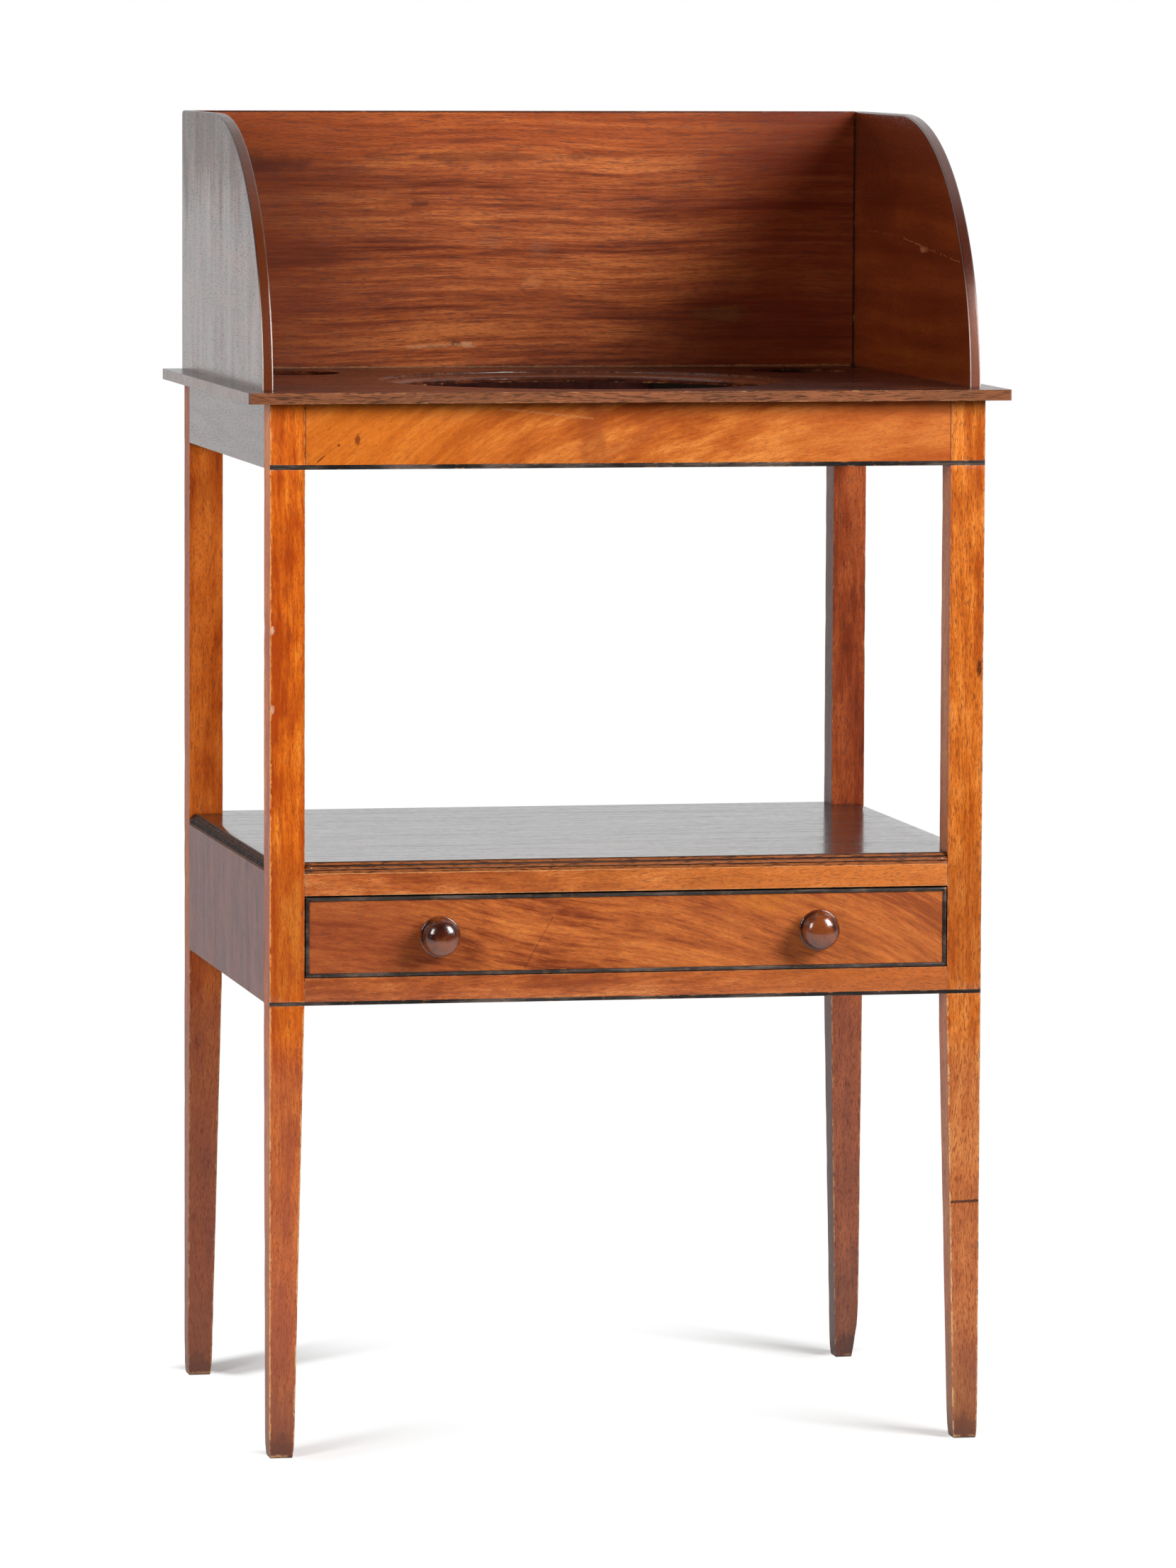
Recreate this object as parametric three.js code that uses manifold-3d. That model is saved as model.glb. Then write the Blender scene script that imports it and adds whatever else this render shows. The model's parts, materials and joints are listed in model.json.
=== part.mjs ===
// A washstand of the Regency kind: four square legs carry a shelf over one long cockbeaded drawer and,
// above an open bay, a top that is cut for a basin and two beakers inside a low gallery with swept ends.
// Millimetres, X to the right, Y to the back, Z up. Pieces are drawn where they stand, in a frame that
// starts on the floor, midway between the legs, in the plane of the front legs' faces. The exported group
// shifts that frame so that its origin is under the middle of the whole outline, from knobs to back.
import * as THREE from "three";
import { mergeVertices } from "three/addons/utils/BufferGeometryUtils.js";
import Module from "manifold-3d";

const wasm = await Module();
wasm.setup();

// Stand, over all
const standWidth = 560;
const standDepth = 426.2;

// Heights, from the floor upwards
const caseUnderside = 349.8;
const lowerRailHeight = 21.4;
const drawerOpeningHeight = 62.8;
const upperRailHeight = 17.5;
const openBayHeight = 300.6;
const friezeHeight = 50.5;
const topThickness = 8.4;
const galleryHeight = 208;

// Legs, which taper on their two inner faces only
const legSection = 27.1;
const footSection = 19.3;
const footEase = 1.2;

// Rails and panels of the frieze and the drawer case
const friezeThickness = 19;
const railDepth = 25;
const caseSideThickness = 14;
const caseBackThickness = 12;
const tenonLength = 13;
const tenonShoulder = 5;
const tenonShare = 1 / 3;
const joineryGap = 0.2;

// Ebony stringing, let into the rails' lower edges and the front legs
const stringingDepth = 1.5;
const friezeStringingHeight = 3.6;
const caseStringingHeight = 3;

// Top, with the moulded seat of the basin and the holes of the beakers
const topSideOverhang = 18.1;
const topFrontOverhang = 12.8;
const basinHoleRadius = 149;
const basinRollWidth = 6;
const basinCoveWidth = 6;
const basinCoveDepth = 2.4;
const basinQuirkDepth = 0.9;
const basinFrontMargin = 27;
const beakerHoleRadius = 40;
const beakerHoleFromSide = 70;
const beakerHoleFromBack = 91.2;
const beakerHoleEase = 1;

// Gallery
const galleryThickness = 8.5;
const galleryProud = 2;
const gallerySweepStart = 23;
const gallerySweepDepth = 241;
const galleryCorner = 3.5;
const galleryNosing = 1.5;
const galleryLap = 2;
const galleryTails = 5;

// Shelf, with a thumb moulding on three edges
const shelfBead = 2.2;
const shelfQuirk = 0.8;
const shelfQuirkHeight = 0.6;
const shelfOvoloHeight = 3.3;
const shelfOvoloDepth = 3;
const shelfFilletHeight = 2.3;
const shelfFilletSetback = 0.5;

// Inside the drawer case
const runnerWidth = 30;
const runnerHeight = 14;
const guideHeight = 13;
const stopLength = 35;
const stopHeight = 3;
const stopX = 95;
const stopGap = 0.3;

// Drawer
const drawerSideGap = 0.8;
const drawerTopGap = 1;
const drawerFloorGap = 0.3;
const drawerBackGap = 14.2;
const drawerFrontThickness = 18;
const drawerSideThickness = 8;
const drawerBackThickness = 9;
const drawerBottomThickness = 6;
const drawerSideDrop = 2;
const drawerBackDrop = 5;
const drawerBottomLift = 5;
const drawerGroove = 4;
const drawerFrontWall = 2;
const drawerTails = 3;
const cockbeadWidth = 3;
const cockbeadDepth = 6;

// Dovetails: the share of the pitch that a tail's tip fills, and its flare along its length
const tailShare = 0.72;
const tailFlareShare = 1 / 7;

// Knobs
const knobX = 149;
const knobShankRadius = 6;
const knobSeatRadius = 8.5;
const knobSeatLength = 1.2;
const knobNeckRadius = 7.5;
const knobNeckLength = 2.6;
const knobFlareLength = 3.6;
const knobRimRadius = 16;
const knobRimWidth = 2.4;
const knobQuirkWidth = 0.6;
const knobBallBackLength = 5;
const knobBallBackRadius = 13;
const knobBallRadius = 14.5;
const knobDomeLength = 9.8;

// Glue blocks, screws and nails
const blockLength = 60;
const blockSection = 18;
const frontBlockInset = 22.9;
const backBlockX = 130;
const screwHeadRadius = 3.4;
const screwHeadLength = 2.4;
const screwShankRadius = 1.5;
const screwPointLength = 3;
const topScrewBite = 5.5;
const galleryScrewBite = 14;
const backScrewX = 180;
const endScrewFrontY = 110;
const endScrewFromBack = 96.2;
const nailHeadRadius = 2;
const nailHeadLength = 0.8;
const nailShankRadius = 0.9;
const nailBite = 12;
const nailX = 150;

// Fineness of the round forms
const basinSides = 80;
const holeSides = 32;
const knobSides = 40;
const fastenerSides = 12;
const sweepSteps = 32;
const cornerSteps = 3;
const nosingSteps = 3;
const mouldingSteps = 5;
const rimSteps = 4;
const domeSteps = 8;

// How far a cut runs past what it cuts
const overrun = 2;

// Levels and planes that several pieces share
const shelfThickness = shelfBead + shelfQuirkHeight + shelfOvoloHeight + shelfFilletHeight;
const openingFloor = caseUnderside + lowerRailHeight;
const openingCeiling = openingFloor + drawerOpeningHeight;
const caseTop = openingCeiling + upperRailHeight;
const shelfTop = caseTop + shelfThickness;
const friezeUnderside = shelfTop + openBayHeight;
const friezeTop = friezeUnderside + friezeHeight;
const tableTop = friezeTop + topThickness;
const outerX = standWidth / 2;
const innerX = outerX - legSection;
const frontLegBack = legSection;
const backLegFront = standDepth - legSection;
const caseSideInner = outerX - caseSideThickness;
const caseBackInner = standDepth - caseBackThickness;
const knobRimStart = knobSeatLength + knobNeckLength + knobFlareLength;
const knobBallStart = knobRimStart + knobRimWidth + knobQuirkWidth;
const knobProjection = knobBallStart + knobBallBackLength + knobDomeLength;

const finishes = {
  figured: new THREE.MeshStandardMaterial({ color: 0xb0602a, roughness: 0.35, metalness: 0 }),
  gallery: new THREE.MeshStandardMaterial({ color: 0x7a2e18, roughness: 0.4, metalness: 0 }),
  top: new THREE.MeshStandardMaterial({ color: 0x571c0e, roughness: 0.3, metalness: 0 }),
  ebony: new THREE.MeshStandardMaterial({ color: 0x15100e, roughness: 0.3, metalness: 0 }),
  knob: new THREE.MeshStandardMaterial({ color: 0x3a120a, roughness: 0.2, metalness: 0 }),
  pine: new THREE.MeshStandardMaterial({ color: 0xb98d5c, roughness: 0.7, metalness: 0 }),
  iron: new THREE.MeshStandardMaterial({ color: 0x4a4643, roughness: 0.5, metalness: 1 }),
};
for (const finish of Object.values(finishes)) finish.flatShading = true;

// Solids

// A geometry whose surface is closed, as a solid that can be cut and joined.
function solidOf(geometry) {
  geometry.deleteAttribute("normal");
  geometry.deleteAttribute("uv");
  const merged = mergeVertices(geometry);
  const corners = merged.index.array;
  const kept = [];
  for (let i = 0; i < corners.length; i += 3) {
    const [a, b, c] = [corners[i], corners[i + 1], corners[i + 2]];
    if (a !== b && b !== c && c !== a) kept.push(a, b, c);
  }
  const surface = {
    numProp: 3,
    vertProperties: merged.attributes.position.array,
    triVerts: new Uint32Array(kept),
  };
  return new wasm.Manifold(new wasm.Mesh(surface));
}

// Rings of as many points each, joined from the lowest to the highest and closed at both ends.
function loft(rings) {
  const around = rings[0].length;
  const faces = [];
  for (let ring = 0; ring + 1 < rings.length; ring++) {
    for (let i = 0; i < around; i++) {
      const [a, b] = [ring * around + i, ring * around + ((i + 1) % around)];
      faces.push(a, b, b + around, a, b + around, a + around);
    }
  }
  const last = (rings.length - 1) * around;
  for (let i = 1; i + 1 < around; i++) {
    faces.push(0, i + 1, i, last, last + i, last + i + 1);
  }
  const geometry = new THREE.BufferGeometry();
  geometry.setAttribute("position", new THREE.Float32BufferAttribute(rings.flat(2), 3));
  geometry.setIndex(faces);
  return solidOf(geometry);
}

// A level rectangle between two values of X and two of Y, taken in either order.
function rectangle(xa, xb, ya, yb, z) {
  const [x0, x1] = [Math.min(xa, xb), Math.max(xa, xb)];
  const [y0, y1] = [Math.min(ya, yb), Math.max(ya, yb)];
  return [
    [x0, y0, z],
    [x1, y0, z],
    [x1, y1, z],
    [x0, y1, z],
  ];
}

function block(xa, xb, ya, yb, za, zb) {
  const [z0, z1] = [Math.min(za, zb), Math.max(za, zb)];
  return loft([rectangle(xa, xb, ya, yb, z0), rectangle(xa, xb, ya, yb, z1)]);
}

// An outline drawn out along one axis. Along X its points are (Y, Z), along Y (Z, X) and along Z (X, Y).
const [unitX, unitY, unitZ] = [
  new THREE.Vector3(1, 0, 0),
  new THREE.Vector3(0, 1, 0),
  new THREE.Vector3(0, 0, 1),
];
const along = {
  x: new THREE.Matrix4().makeBasis(unitY, unitZ, unitX),
  y: new THREE.Matrix4().makeBasis(unitZ, unitX, unitY),
  z: new THREE.Matrix4().makeBasis(unitX, unitY, unitZ),
};

function prism(outline, axis, from, to) {
  const shape = outline instanceof THREE.Shape ? outline : shapeOf(outline);
  const geometry = new THREE.ExtrudeGeometry(shape, { depth: 1, bevelEnabled: false });
  const place = geometry.attributes.position;
  for (let i = 0; i < place.count; i++) place.setZ(i, place.getZ(i) > 0 ? to : from);
  return solidOf(geometry.applyMatrix4(axis));
}

function shapeOf(points) {
  return new THREE.Shape(points.map(([u, v]) => new THREE.Vector2(u, v)));
}

// A profile of (radius, height) points, from the axis at its foot to the axis at its head, turned about
// the Y axis as a lathe does, or about an upright line that stands on a point.
function latheOf(profile, around) {
  const points = profile.map(([radius, height]) => new THREE.Vector2(radius, height));
  return new THREE.LatheGeometry(points, around);
}

function turned(profile, around, [x, y, z]) {
  const geometry = latheOf(profile, around);
  geometry.applyMatrix4(new THREE.Matrix4().makeBasis(unitX, unitZ, unitY.clone().negate()));
  return solidOf(geometry.translate(x, y, z));
}

// Points of a quarter ellipse between two angles, given in quarter turns.
function quarterArc([cu, cv], ru, rv, from, to, steps) {
  return Array.from({ length: steps + 1 }, (_, i) => {
    const angle = ((from + ((to - from) * i) / steps) * Math.PI) / 2;
    return [cu + ru * Math.cos(angle), cv + rv * Math.sin(angle)];
  });
}

const joined = (solids) => solids.reduce((whole, solid) => whole.add(solid));
const cut = (solid, cutters) => cutters.reduce((left, cutter) => left.subtract(cutter), solid);

// Each finished piece is one named mesh in the group that carries it.
function addPiece(group, name, solid, finish) {
  const { vertProperties, triVerts } = solid.getMesh();
  const geometry = new THREE.BufferGeometry();
  geometry.setAttribute("position", new THREE.BufferAttribute(vertProperties, 3));
  geometry.setIndex(new THREE.BufferAttribute(triVerts, 1));
  const mesh = new THREE.Mesh(geometry, finish);
  mesh.name = name;
  group.add(mesh);
  return mesh;
}

const sides = [
  ["left", -1],
  ["right", 1],
];
const ends = [
  ["front", 0],
  ["back", 1],
];

// Joinery

// Every tenon leaves its mortise here, for the legs to be cut by.
const mortises = [];

function tenon(xa, xb, ya, yb, za, zb) {
  const grown = [xa, ya, za].map((low, i) => Math.min(low, [xb, yb, zb][i]) - joineryGap);
  const far = [xa, ya, za].map((low, i) => Math.max(low, [xb, yb, zb][i]) + joineryGap);
  mortises.push(block(grown[0], far[0], grown[1], far[1], grown[2], far[2]));
  return block(xa, xb, ya, yb, za, zb);
}

// Equal tenons one above another, each with a shoulder above and below.
function tenonLevels(z0, z1, count) {
  const pitch = (z1 - z0) / count;
  return Array.from({ length: count }, (_, i) => [
    z0 + pitch * i + tenonShoulder,
    z0 + pitch * (i + 1) - tenonShoulder,
  ]);
}

// A rail from leg to leg across the stand, tenoned into both.
function railAcross(y0, y1, z0, z1, count = 1) {
  const cheek = ((y1 - y0) * (1 - tenonShare)) / 2;
  const tenons = sides.flatMap(([, side]) =>
    tenonLevels(z0, z1, count).map(([za, zb]) =>
      tenon(side * innerX, side * (innerX + tenonLength), y0 + cheek, y1 - cheek, za, zb),
    ),
  );
  return joined([block(-innerX, innerX, y0, y1, z0, z1), ...tenons]);
}

// A rail or panel from a front leg to the back leg behind it, its outer face flush with theirs.
function railAlong(side, thickness, z0, z1, count = 1) {
  const cheek = (thickness * (1 - tenonShare)) / 2;
  const [xa, xb] = [side * (outerX - cheek), side * (outerX - thickness + cheek)];
  const tenons = tenonLevels(z0, z1, count).flatMap(([za, zb]) => [
    tenon(xa, xb, frontLegBack - tenonLength, frontLegBack, za, zb),
    tenon(xa, xb, backLegFront, backLegFront + tenonLength, za, zb),
  ]);
  const panel = block(side * outerX, side * (outerX - thickness), frontLegBack, backLegFront, z0, z1);
  return joined([panel, ...tenons]);
}

// Tails on a line from start to end: each outline runs out from base to tip and is wider at its tip.
function tails(count, start, end, base, tip) {
  const pitch = (end - start) / count;
  const flare = Math.abs(tip - base) * tailFlareShare;
  return Array.from({ length: count }, (_, i) => {
    const middle = start + pitch * (i + 0.5);
    const wide = (pitch * tailShare) / 2;
    const narrow = wide - flare;
    return [
      [base, middle - narrow],
      [tip, middle - wide],
      [tip, middle + wide],
      [base, middle + narrow],
    ];
  });
}

// The socket of a tail: its outline with the joinery gap all round, run out past its mouth.
function socket([[base, baseLow], [tip, tipLow], [, tipHigh], [, baseHigh]]) {
  const outward = Math.sign(tip - base);
  const mouth = base - outward * overrun;
  const taper = overrun * tailFlareShare;
  return [
    [mouth, baseLow + taper - joineryGap],
    [tip + outward * joineryGap, tipLow - joineryGap],
    [tip + outward * joineryGap, tipHigh + joineryGap],
    [mouth, baseHigh - taper + joineryGap],
  ];
}

const swapped = (outline) => outline.map(([u, v]) => [v, u]);

// Stringing, one strip across the rail and both front legs

const strip = (z0, height) => block(-outerX, outerX, 0, stringingDepth, z0, z0 + height);
const friezeStringing = strip(friezeUnderside, friezeStringingHeight);
const caseStringing = strip(caseUnderside, caseStringingHeight);

// Frieze

function frieze(group) {
  const front = railAcross(0, friezeThickness, friezeUnderside, friezeTop);
  addPiece(group, "frieze_front", front.subtract(friezeStringing), finishes.figured);
  addPiece(group, "frieze_stringing", friezeStringing, finishes.ebony);
  const back = railAcross(standDepth - friezeThickness, standDepth, friezeUnderside, friezeTop);
  addPiece(group, "frieze_back", back, finishes.figured);
  for (const [name, side] of sides) {
    const rail = railAlong(side, friezeThickness, friezeUnderside, friezeTop);
    addPiece(group, "frieze_" + name, rail, finishes.figured);
  }
}

// Drawer case, under the shelf

function drawerCase(group) {
  const lower = railAcross(0, railDepth, caseUnderside, openingFloor);
  addPiece(group, "drawer_rail_lower", lower.subtract(caseStringing), finishes.figured);
  addPiece(group, "case_stringing", caseStringing, finishes.ebony);
  const upper = railAcross(0, railDepth, openingCeiling, caseTop);
  addPiece(group, "drawer_rail_upper", upper, finishes.figured);
  const back = railAcross(caseBackInner, standDepth, caseUnderside, caseTop, 2);
  addPiece(group, "case_back", back, finishes.pine);
  for (const [name, side] of sides) {
    const panel = railAlong(side, caseSideThickness, caseUnderside, caseTop, 2);
    addPiece(group, "case_side_" + name, panel, finishes.figured);
    const runner = bearer(side, openingFloor - runnerHeight, openingFloor);
    addPiece(group, "drawer_runner_" + name, runner, finishes.pine);
    addPiece(group, "drawer_kicker_" + name, bearer(side, openingCeiling, caseTop), finishes.pine);
    addPiece(group, "drawer_guide_" + name, guide(side), finishes.pine);
    addPiece(group, "drawer_stop_" + name, stop(side), finishes.pine);
  }
}

// A runner or kicker lies against the case side, is notched round both legs and reaches from the rail
// to the back.
function bearer(side, z0, z1) {
  const inner = side * (caseSideInner - runnerWidth);
  return joined([
    block(side * innerX, side * caseSideInner, frontLegBack, backLegFront, z0, z1),
    block(inner, side * innerX, railDepth, caseBackInner, z0, z1),
  ]);
}

// A guide lies on the runner and keeps the drawer in line with the legs.
function guide(side) {
  const [z0, z1] = [openingFloor, openingFloor + guideHeight];
  return block(side * innerX, side * caseSideInner, frontLegBack, backLegFront, z0, z1);
}

// A stop is glued to the lower rail and meets the back of the drawer's front.
function stop(side) {
  const [xa, xb] = [side * (stopX - stopLength / 2), side * (stopX + stopLength / 2)];
  const y0 = drawerFrontThickness + stopGap;
  return block(xa, xb, y0, railDepth, openingFloor, openingFloor + stopHeight);
}

// Shelf

// The thumb moulding, from the shelf's underside to its top, as (distance in from the face, height).
function thumbMoulding() {
  const ovoloFoot = shelfBead + shelfQuirkHeight;
  const ovoloHead = ovoloFoot + shelfOvoloHeight;
  const centre = [shelfOvoloDepth, ovoloFoot];
  const ovolo = quarterArc(centre, shelfOvoloDepth, shelfOvoloHeight, 2, 1, mouldingSteps);
  const fillet = shelfOvoloDepth + shelfFilletSetback;
  return [
    [0, 0],
    [0, shelfBead],
    [shelfQuirk, shelfBead],
    [shelfQuirk, ovoloFoot],
    ...ovolo,
    [fillet, ovoloHead],
    [fillet, shelfThickness],
  ];
}

function shelf() {
  const moulding = thumbMoulding();
  const front = moulding.map(([inward, height]) => [inward, caseTop + height]);
  const left = moulding.map(([inward, height]) => [caseTop + height, inward - outerX]);
  const right = moulding.map(([inward, height]) => [caseTop + height, outerX - inward]).reverse();
  const depthwise = [[standDepth, caseTop], ...front, [standDepth, shelfTop]];
  const acrossX = innerX - joineryGap;
  const [y0, y1] = [frontLegBack + joineryGap, backLegFront - joineryGap];
  return joined([
    prism(depthwise, along.x, -acrossX, acrossX),
    prism([...left, ...right], along.y, y0, y1),
  ]);
}

// Top

// What the basin's seat takes out of the top: a quirk, a shallow cove and a roll down to the hole.
function basinCutter() {
  const coveFoot = tableTop - basinCoveDepth;
  const quirkFoot = tableTop - basinQuirkDepth;
  const coveRadius = basinHoleRadius + basinRollWidth;
  const ringRadius = coveRadius + basinCoveWidth;
  const rollHeight = coveFoot - friezeTop;
  const roll = quarterArc([coveRadius, friezeTop], basinRollWidth, rollHeight, 2, 1, mouldingSteps);
  const coveDrop = quirkFoot - coveFoot;
  const cove = quarterArc([coveRadius, quirkFoot], basinCoveWidth, coveDrop, 3, 4, mouldingSteps);
  const profile = [
    [0, friezeTop - overrun],
    [basinHoleRadius, friezeTop - overrun],
    ...roll,
    ...cove.slice(1),
    [ringRadius, tableTop + overrun],
    [0, tableTop + overrun],
  ];
  return turned(profile, basinSides, [0, basinFrontMargin + ringRadius, 0]);
}

function beakerCutter(side) {
  const rim = beakerHoleRadius + beakerHoleEase;
  const profile = [
    [0, friezeTop - overrun],
    [beakerHoleRadius, friezeTop - overrun],
    [beakerHoleRadius, tableTop - beakerHoleEase],
    [rim, tableTop],
    [rim, tableTop + overrun],
    [0, tableTop + overrun],
  ];
  const x = side * (outerX - beakerHoleFromSide);
  return turned(profile, holeSides, [x, standDepth - beakerHoleFromBack, 0]);
}

function tabletop() {
  const halfWidth = outerX + topSideOverhang;
  const board = block(-halfWidth, halfWidth, -topFrontOverhang, standDepth, friezeTop, tableTop);
  return cut(board, [basinCutter(), beakerCutter(-1), beakerCutter(1)]);
}

// Gallery

const galleryOuterX = outerX + galleryProud;
const galleryInnerX = galleryOuterX - galleryThickness;
const galleryBackFront = standDepth - galleryThickness;
const galleryEndMiddle = galleryOuterX - galleryThickness / 2;
const galleryBackMiddle = standDepth - galleryThickness / 2;

// A swept end: a quarter ellipse from the tabletop up to the level top edge, its long arrises rounded.
function galleryEnd(side) {
  const crown = gallerySweepStart + gallerySweepDepth;
  const below = -overrun - galleryNosing;
  const cornerCentre = [standDepth - galleryCorner, galleryHeight - galleryCorner];
  const outline = shapeOf([
    [gallerySweepStart, below],
    ...quarterArc([crown, 0], gallerySweepDepth, galleryHeight, 2, 1, sweepSteps),
    ...quarterArc(cornerCentre, galleryCorner, galleryCorner, 1, 0, cornerSteps),
    [standDepth, below],
  ]);
  const geometry = new THREE.ExtrudeGeometry(outline, {
    depth: galleryThickness - 2 * galleryNosing,
    bevelThickness: galleryNosing,
    bevelSize: galleryNosing,
    bevelOffset: -galleryNosing,
    bevelSegments: nosingSteps,
  });
  geometry.translate(0, 0, galleryNosing);
  geometry.applyMatrix4(along.x);
  geometry.translate(side > 0 ? galleryInnerX : -galleryOuterX, 0, 0);
  const high = galleryHeight + overrun;
  const sawn = block(-galleryOuterX - overrun, galleryOuterX + overrun, 0, standDepth, 0, high);
  return solidOf(geometry).intersect(sawn);
}

// The back board's tails lie behind a lap of the ends, so only the back shows them.
function galleryTailOutlines(side) {
  const [base, tip] = [side * galleryInnerX, side * (galleryOuterX - galleryLap)];
  return tails(galleryTails, 0, galleryHeight - galleryCorner, base, tip);
}

function gallery(group) {
  const board = block(-galleryInnerX, galleryInnerX, galleryBackFront, standDepth, 0, galleryHeight);
  const tailPieces = sides.flatMap(([, side]) =>
    galleryTailOutlines(side).map((tail) => prism(swapped(tail), along.y, galleryBackFront, standDepth)),
  );
  const back = joined([board, ...tailPieces]);
  const holes = galleryScrewPlaces.map((place) =>
    screw(galleryScrewLength, place, -topThickness, joineryGap),
  );
  addPiece(group, "gallery_back", cut(back, holes), finishes.gallery);
  for (const [name, side] of sides) {
    const sockets = galleryTailOutlines(side).map((tail) =>
      prism(swapped(socket(tail)), along.y, galleryBackFront - joineryGap, standDepth + overrun),
    );
    addPiece(group, "gallery_" + name, cut(galleryEnd(side), [...sockets, ...holes]), finishes.gallery);
  }
}

// Screws and glue blocks

const topScrewLength = blockSection + topScrewBite;
const galleryScrewLength = topThickness + galleryScrewBite;
const blockUnderside = friezeTop - blockSection;

const blockPlaces = sides.flatMap(([sideName, side]) => {
  const frontX = innerX - frontBlockInset - blockLength / 2;
  const backY = standDepth - friezeThickness - blockSection / 2;
  return [
    { name: "front_" + sideName, x: side * frontX, y: friezeThickness + blockSection / 2 },
    { name: "back_" + sideName, x: side * backBlockX, y: backY },
  ];
});
const galleryScrewPlaces = sides.flatMap(([name, side]) => [
  { name: "back_" + name, x: side * backScrewX, y: galleryBackMiddle },
  { name: name + "_front", x: side * galleryEndMiddle, y: endScrewFrontY },
  { name: name + "_back", x: side * galleryEndMiddle, y: standDepth - endScrewFromBack },
]);

// A countersunk screw that stands on its head, or with a gap, the hole for it.
function screw(length, { x, y }, z, gap = 0) {
  const profile = [
    [0, -gap],
    [screwHeadRadius + gap, -gap],
    [screwShankRadius + gap, screwHeadLength],
    [screwShankRadius + gap, length - screwPointLength],
    [0, length + gap],
  ];
  return turned(profile, fastenerSides, [x, y, z]);
}

function fixings(group) {
  for (const place of blockPlaces) {
    const { name, x, y } = place;
    const [x0, x1] = [x - blockLength / 2, x + blockLength / 2];
    const [y0, y1] = [y - blockSection / 2, y + blockSection / 2];
    const hole = screw(topScrewLength, place, blockUnderside, joineryGap);
    const glued = block(x0, x1, y0, y1, blockUnderside, friezeTop).subtract(hole);
    addPiece(group, "glue_block_" + name, glued, finishes.pine);
    addPiece(group, "top_screw_" + name, screw(topScrewLength, place, blockUnderside), finishes.iron);
  }
  for (const place of galleryScrewPlaces) {
    const driven = screw(galleryScrewLength, place, friezeTop);
    addPiece(group, "gallery_screw_" + place.name, driven, finishes.iron);
  }
}

function screwHolesOfTop() {
  return [
    ...blockPlaces.map((place) => screw(topScrewLength, place, blockUnderside, joineryGap)),
    ...galleryScrewPlaces.map((place) => screw(galleryScrewLength, place, friezeTop, joineryGap)),
  ];
}

// Legs

function leg(side, end) {
  const [faceX, faceY] = [side * outerX, end * standDepth];
  const [inX, inY] = [-side, end ? -1 : 1];
  const ring = (section, z, ease = 0) =>
    rectangle(
      faceX + inX * ease,
      faceX + inX * (section - ease),
      faceY + inY * ease,
      faceY + inY * (section - ease),
      z,
    );
  const whole = loft([
    ring(footSection, 0, footEase),
    ring(footSection, footEase),
    ring(legSection, caseUnderside),
    ring(legSection, friezeTop),
  ]);
  const grooves = end ? [] : [friezeStringing, caseStringing];
  return cut(whole, [...mortises, ...grooves]);
}

function legs(group) {
  for (const [endName, end] of ends) {
    for (const [sideName, side] of sides) {
      addPiece(group, "leg_" + endName + "_" + sideName, leg(side, end), finishes.figured);
    }
  }
}

// Drawer, drawn from its own front face and lower edge

const drawerLength = caseBackInner - drawerBackGap;
const drawerHalfWidth = innerX - drawerSideGap;
const drawerHeight = drawerOpeningHeight - drawerFloorGap - drawerTopGap;
const drawerBoxInner = drawerHalfWidth - drawerSideThickness;
const drawerFrontTop = drawerHeight - cockbeadWidth;
const drawerSideTop = drawerHeight - drawerSideDrop;
const drawerBackTop = drawerHeight - drawerBackDrop;
const drawerBackFace = drawerLength - drawerBackThickness;
const bottomUnderside = drawerBottomLift + joineryGap;
const bottomUpside = drawerBottomLift + drawerBottomThickness - joineryGap;
const grooveTop = drawerBottomLift + drawerBottomThickness;

// The sides' tails stop behind the cockbead's rebate at the front and run right through at the back.
function frontTails() {
  const tip = cockbeadDepth + drawerFrontWall;
  return tails(drawerTails, 0, drawerSideTop, drawerFrontThickness, tip);
}

function backTails() {
  return tails(drawerTails, grooveTop, drawerSideTop, drawerBackFace, drawerLength);
}

function drawerSide(side) {
  const [xa, xb] = [side * drawerBoxInner, side * drawerHalfWidth];
  const [x0, x1] = [Math.min(xa, xb), Math.max(xa, xb)];
  const tailPieces = [...frontTails(), ...backTails()].map((tail) => prism(tail, along.x, x0, x1));
  const groove = block(
    side * (drawerBoxInner - overrun),
    side * (drawerBoxInner + drawerGroove),
    0,
    drawerLength + overrun,
    drawerBottomLift,
    grooveTop,
  );
  return joined([
    block(x0, x1, drawerFrontThickness, drawerBackFace, 0, drawerSideTop),
    block(x0, x1, drawerBackFace, drawerLength, 0, grooveTop),
    ...tailPieces,
  ]).subtract(groove);
}

// What the tails of both sides take out of the front or the back.
function socketCutters(tailOutlines) {
  return sides.flatMap(([, side]) => {
    const [xa, xb] = [side * (drawerBoxInner - joineryGap), side * (drawerHalfWidth + overrun)];
    const [x0, x1] = [Math.min(xa, xb), Math.max(xa, xb)];
    return tailOutlines.map((tail) => prism(socket(tail), along.x, x0, x1));
  });
}

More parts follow.
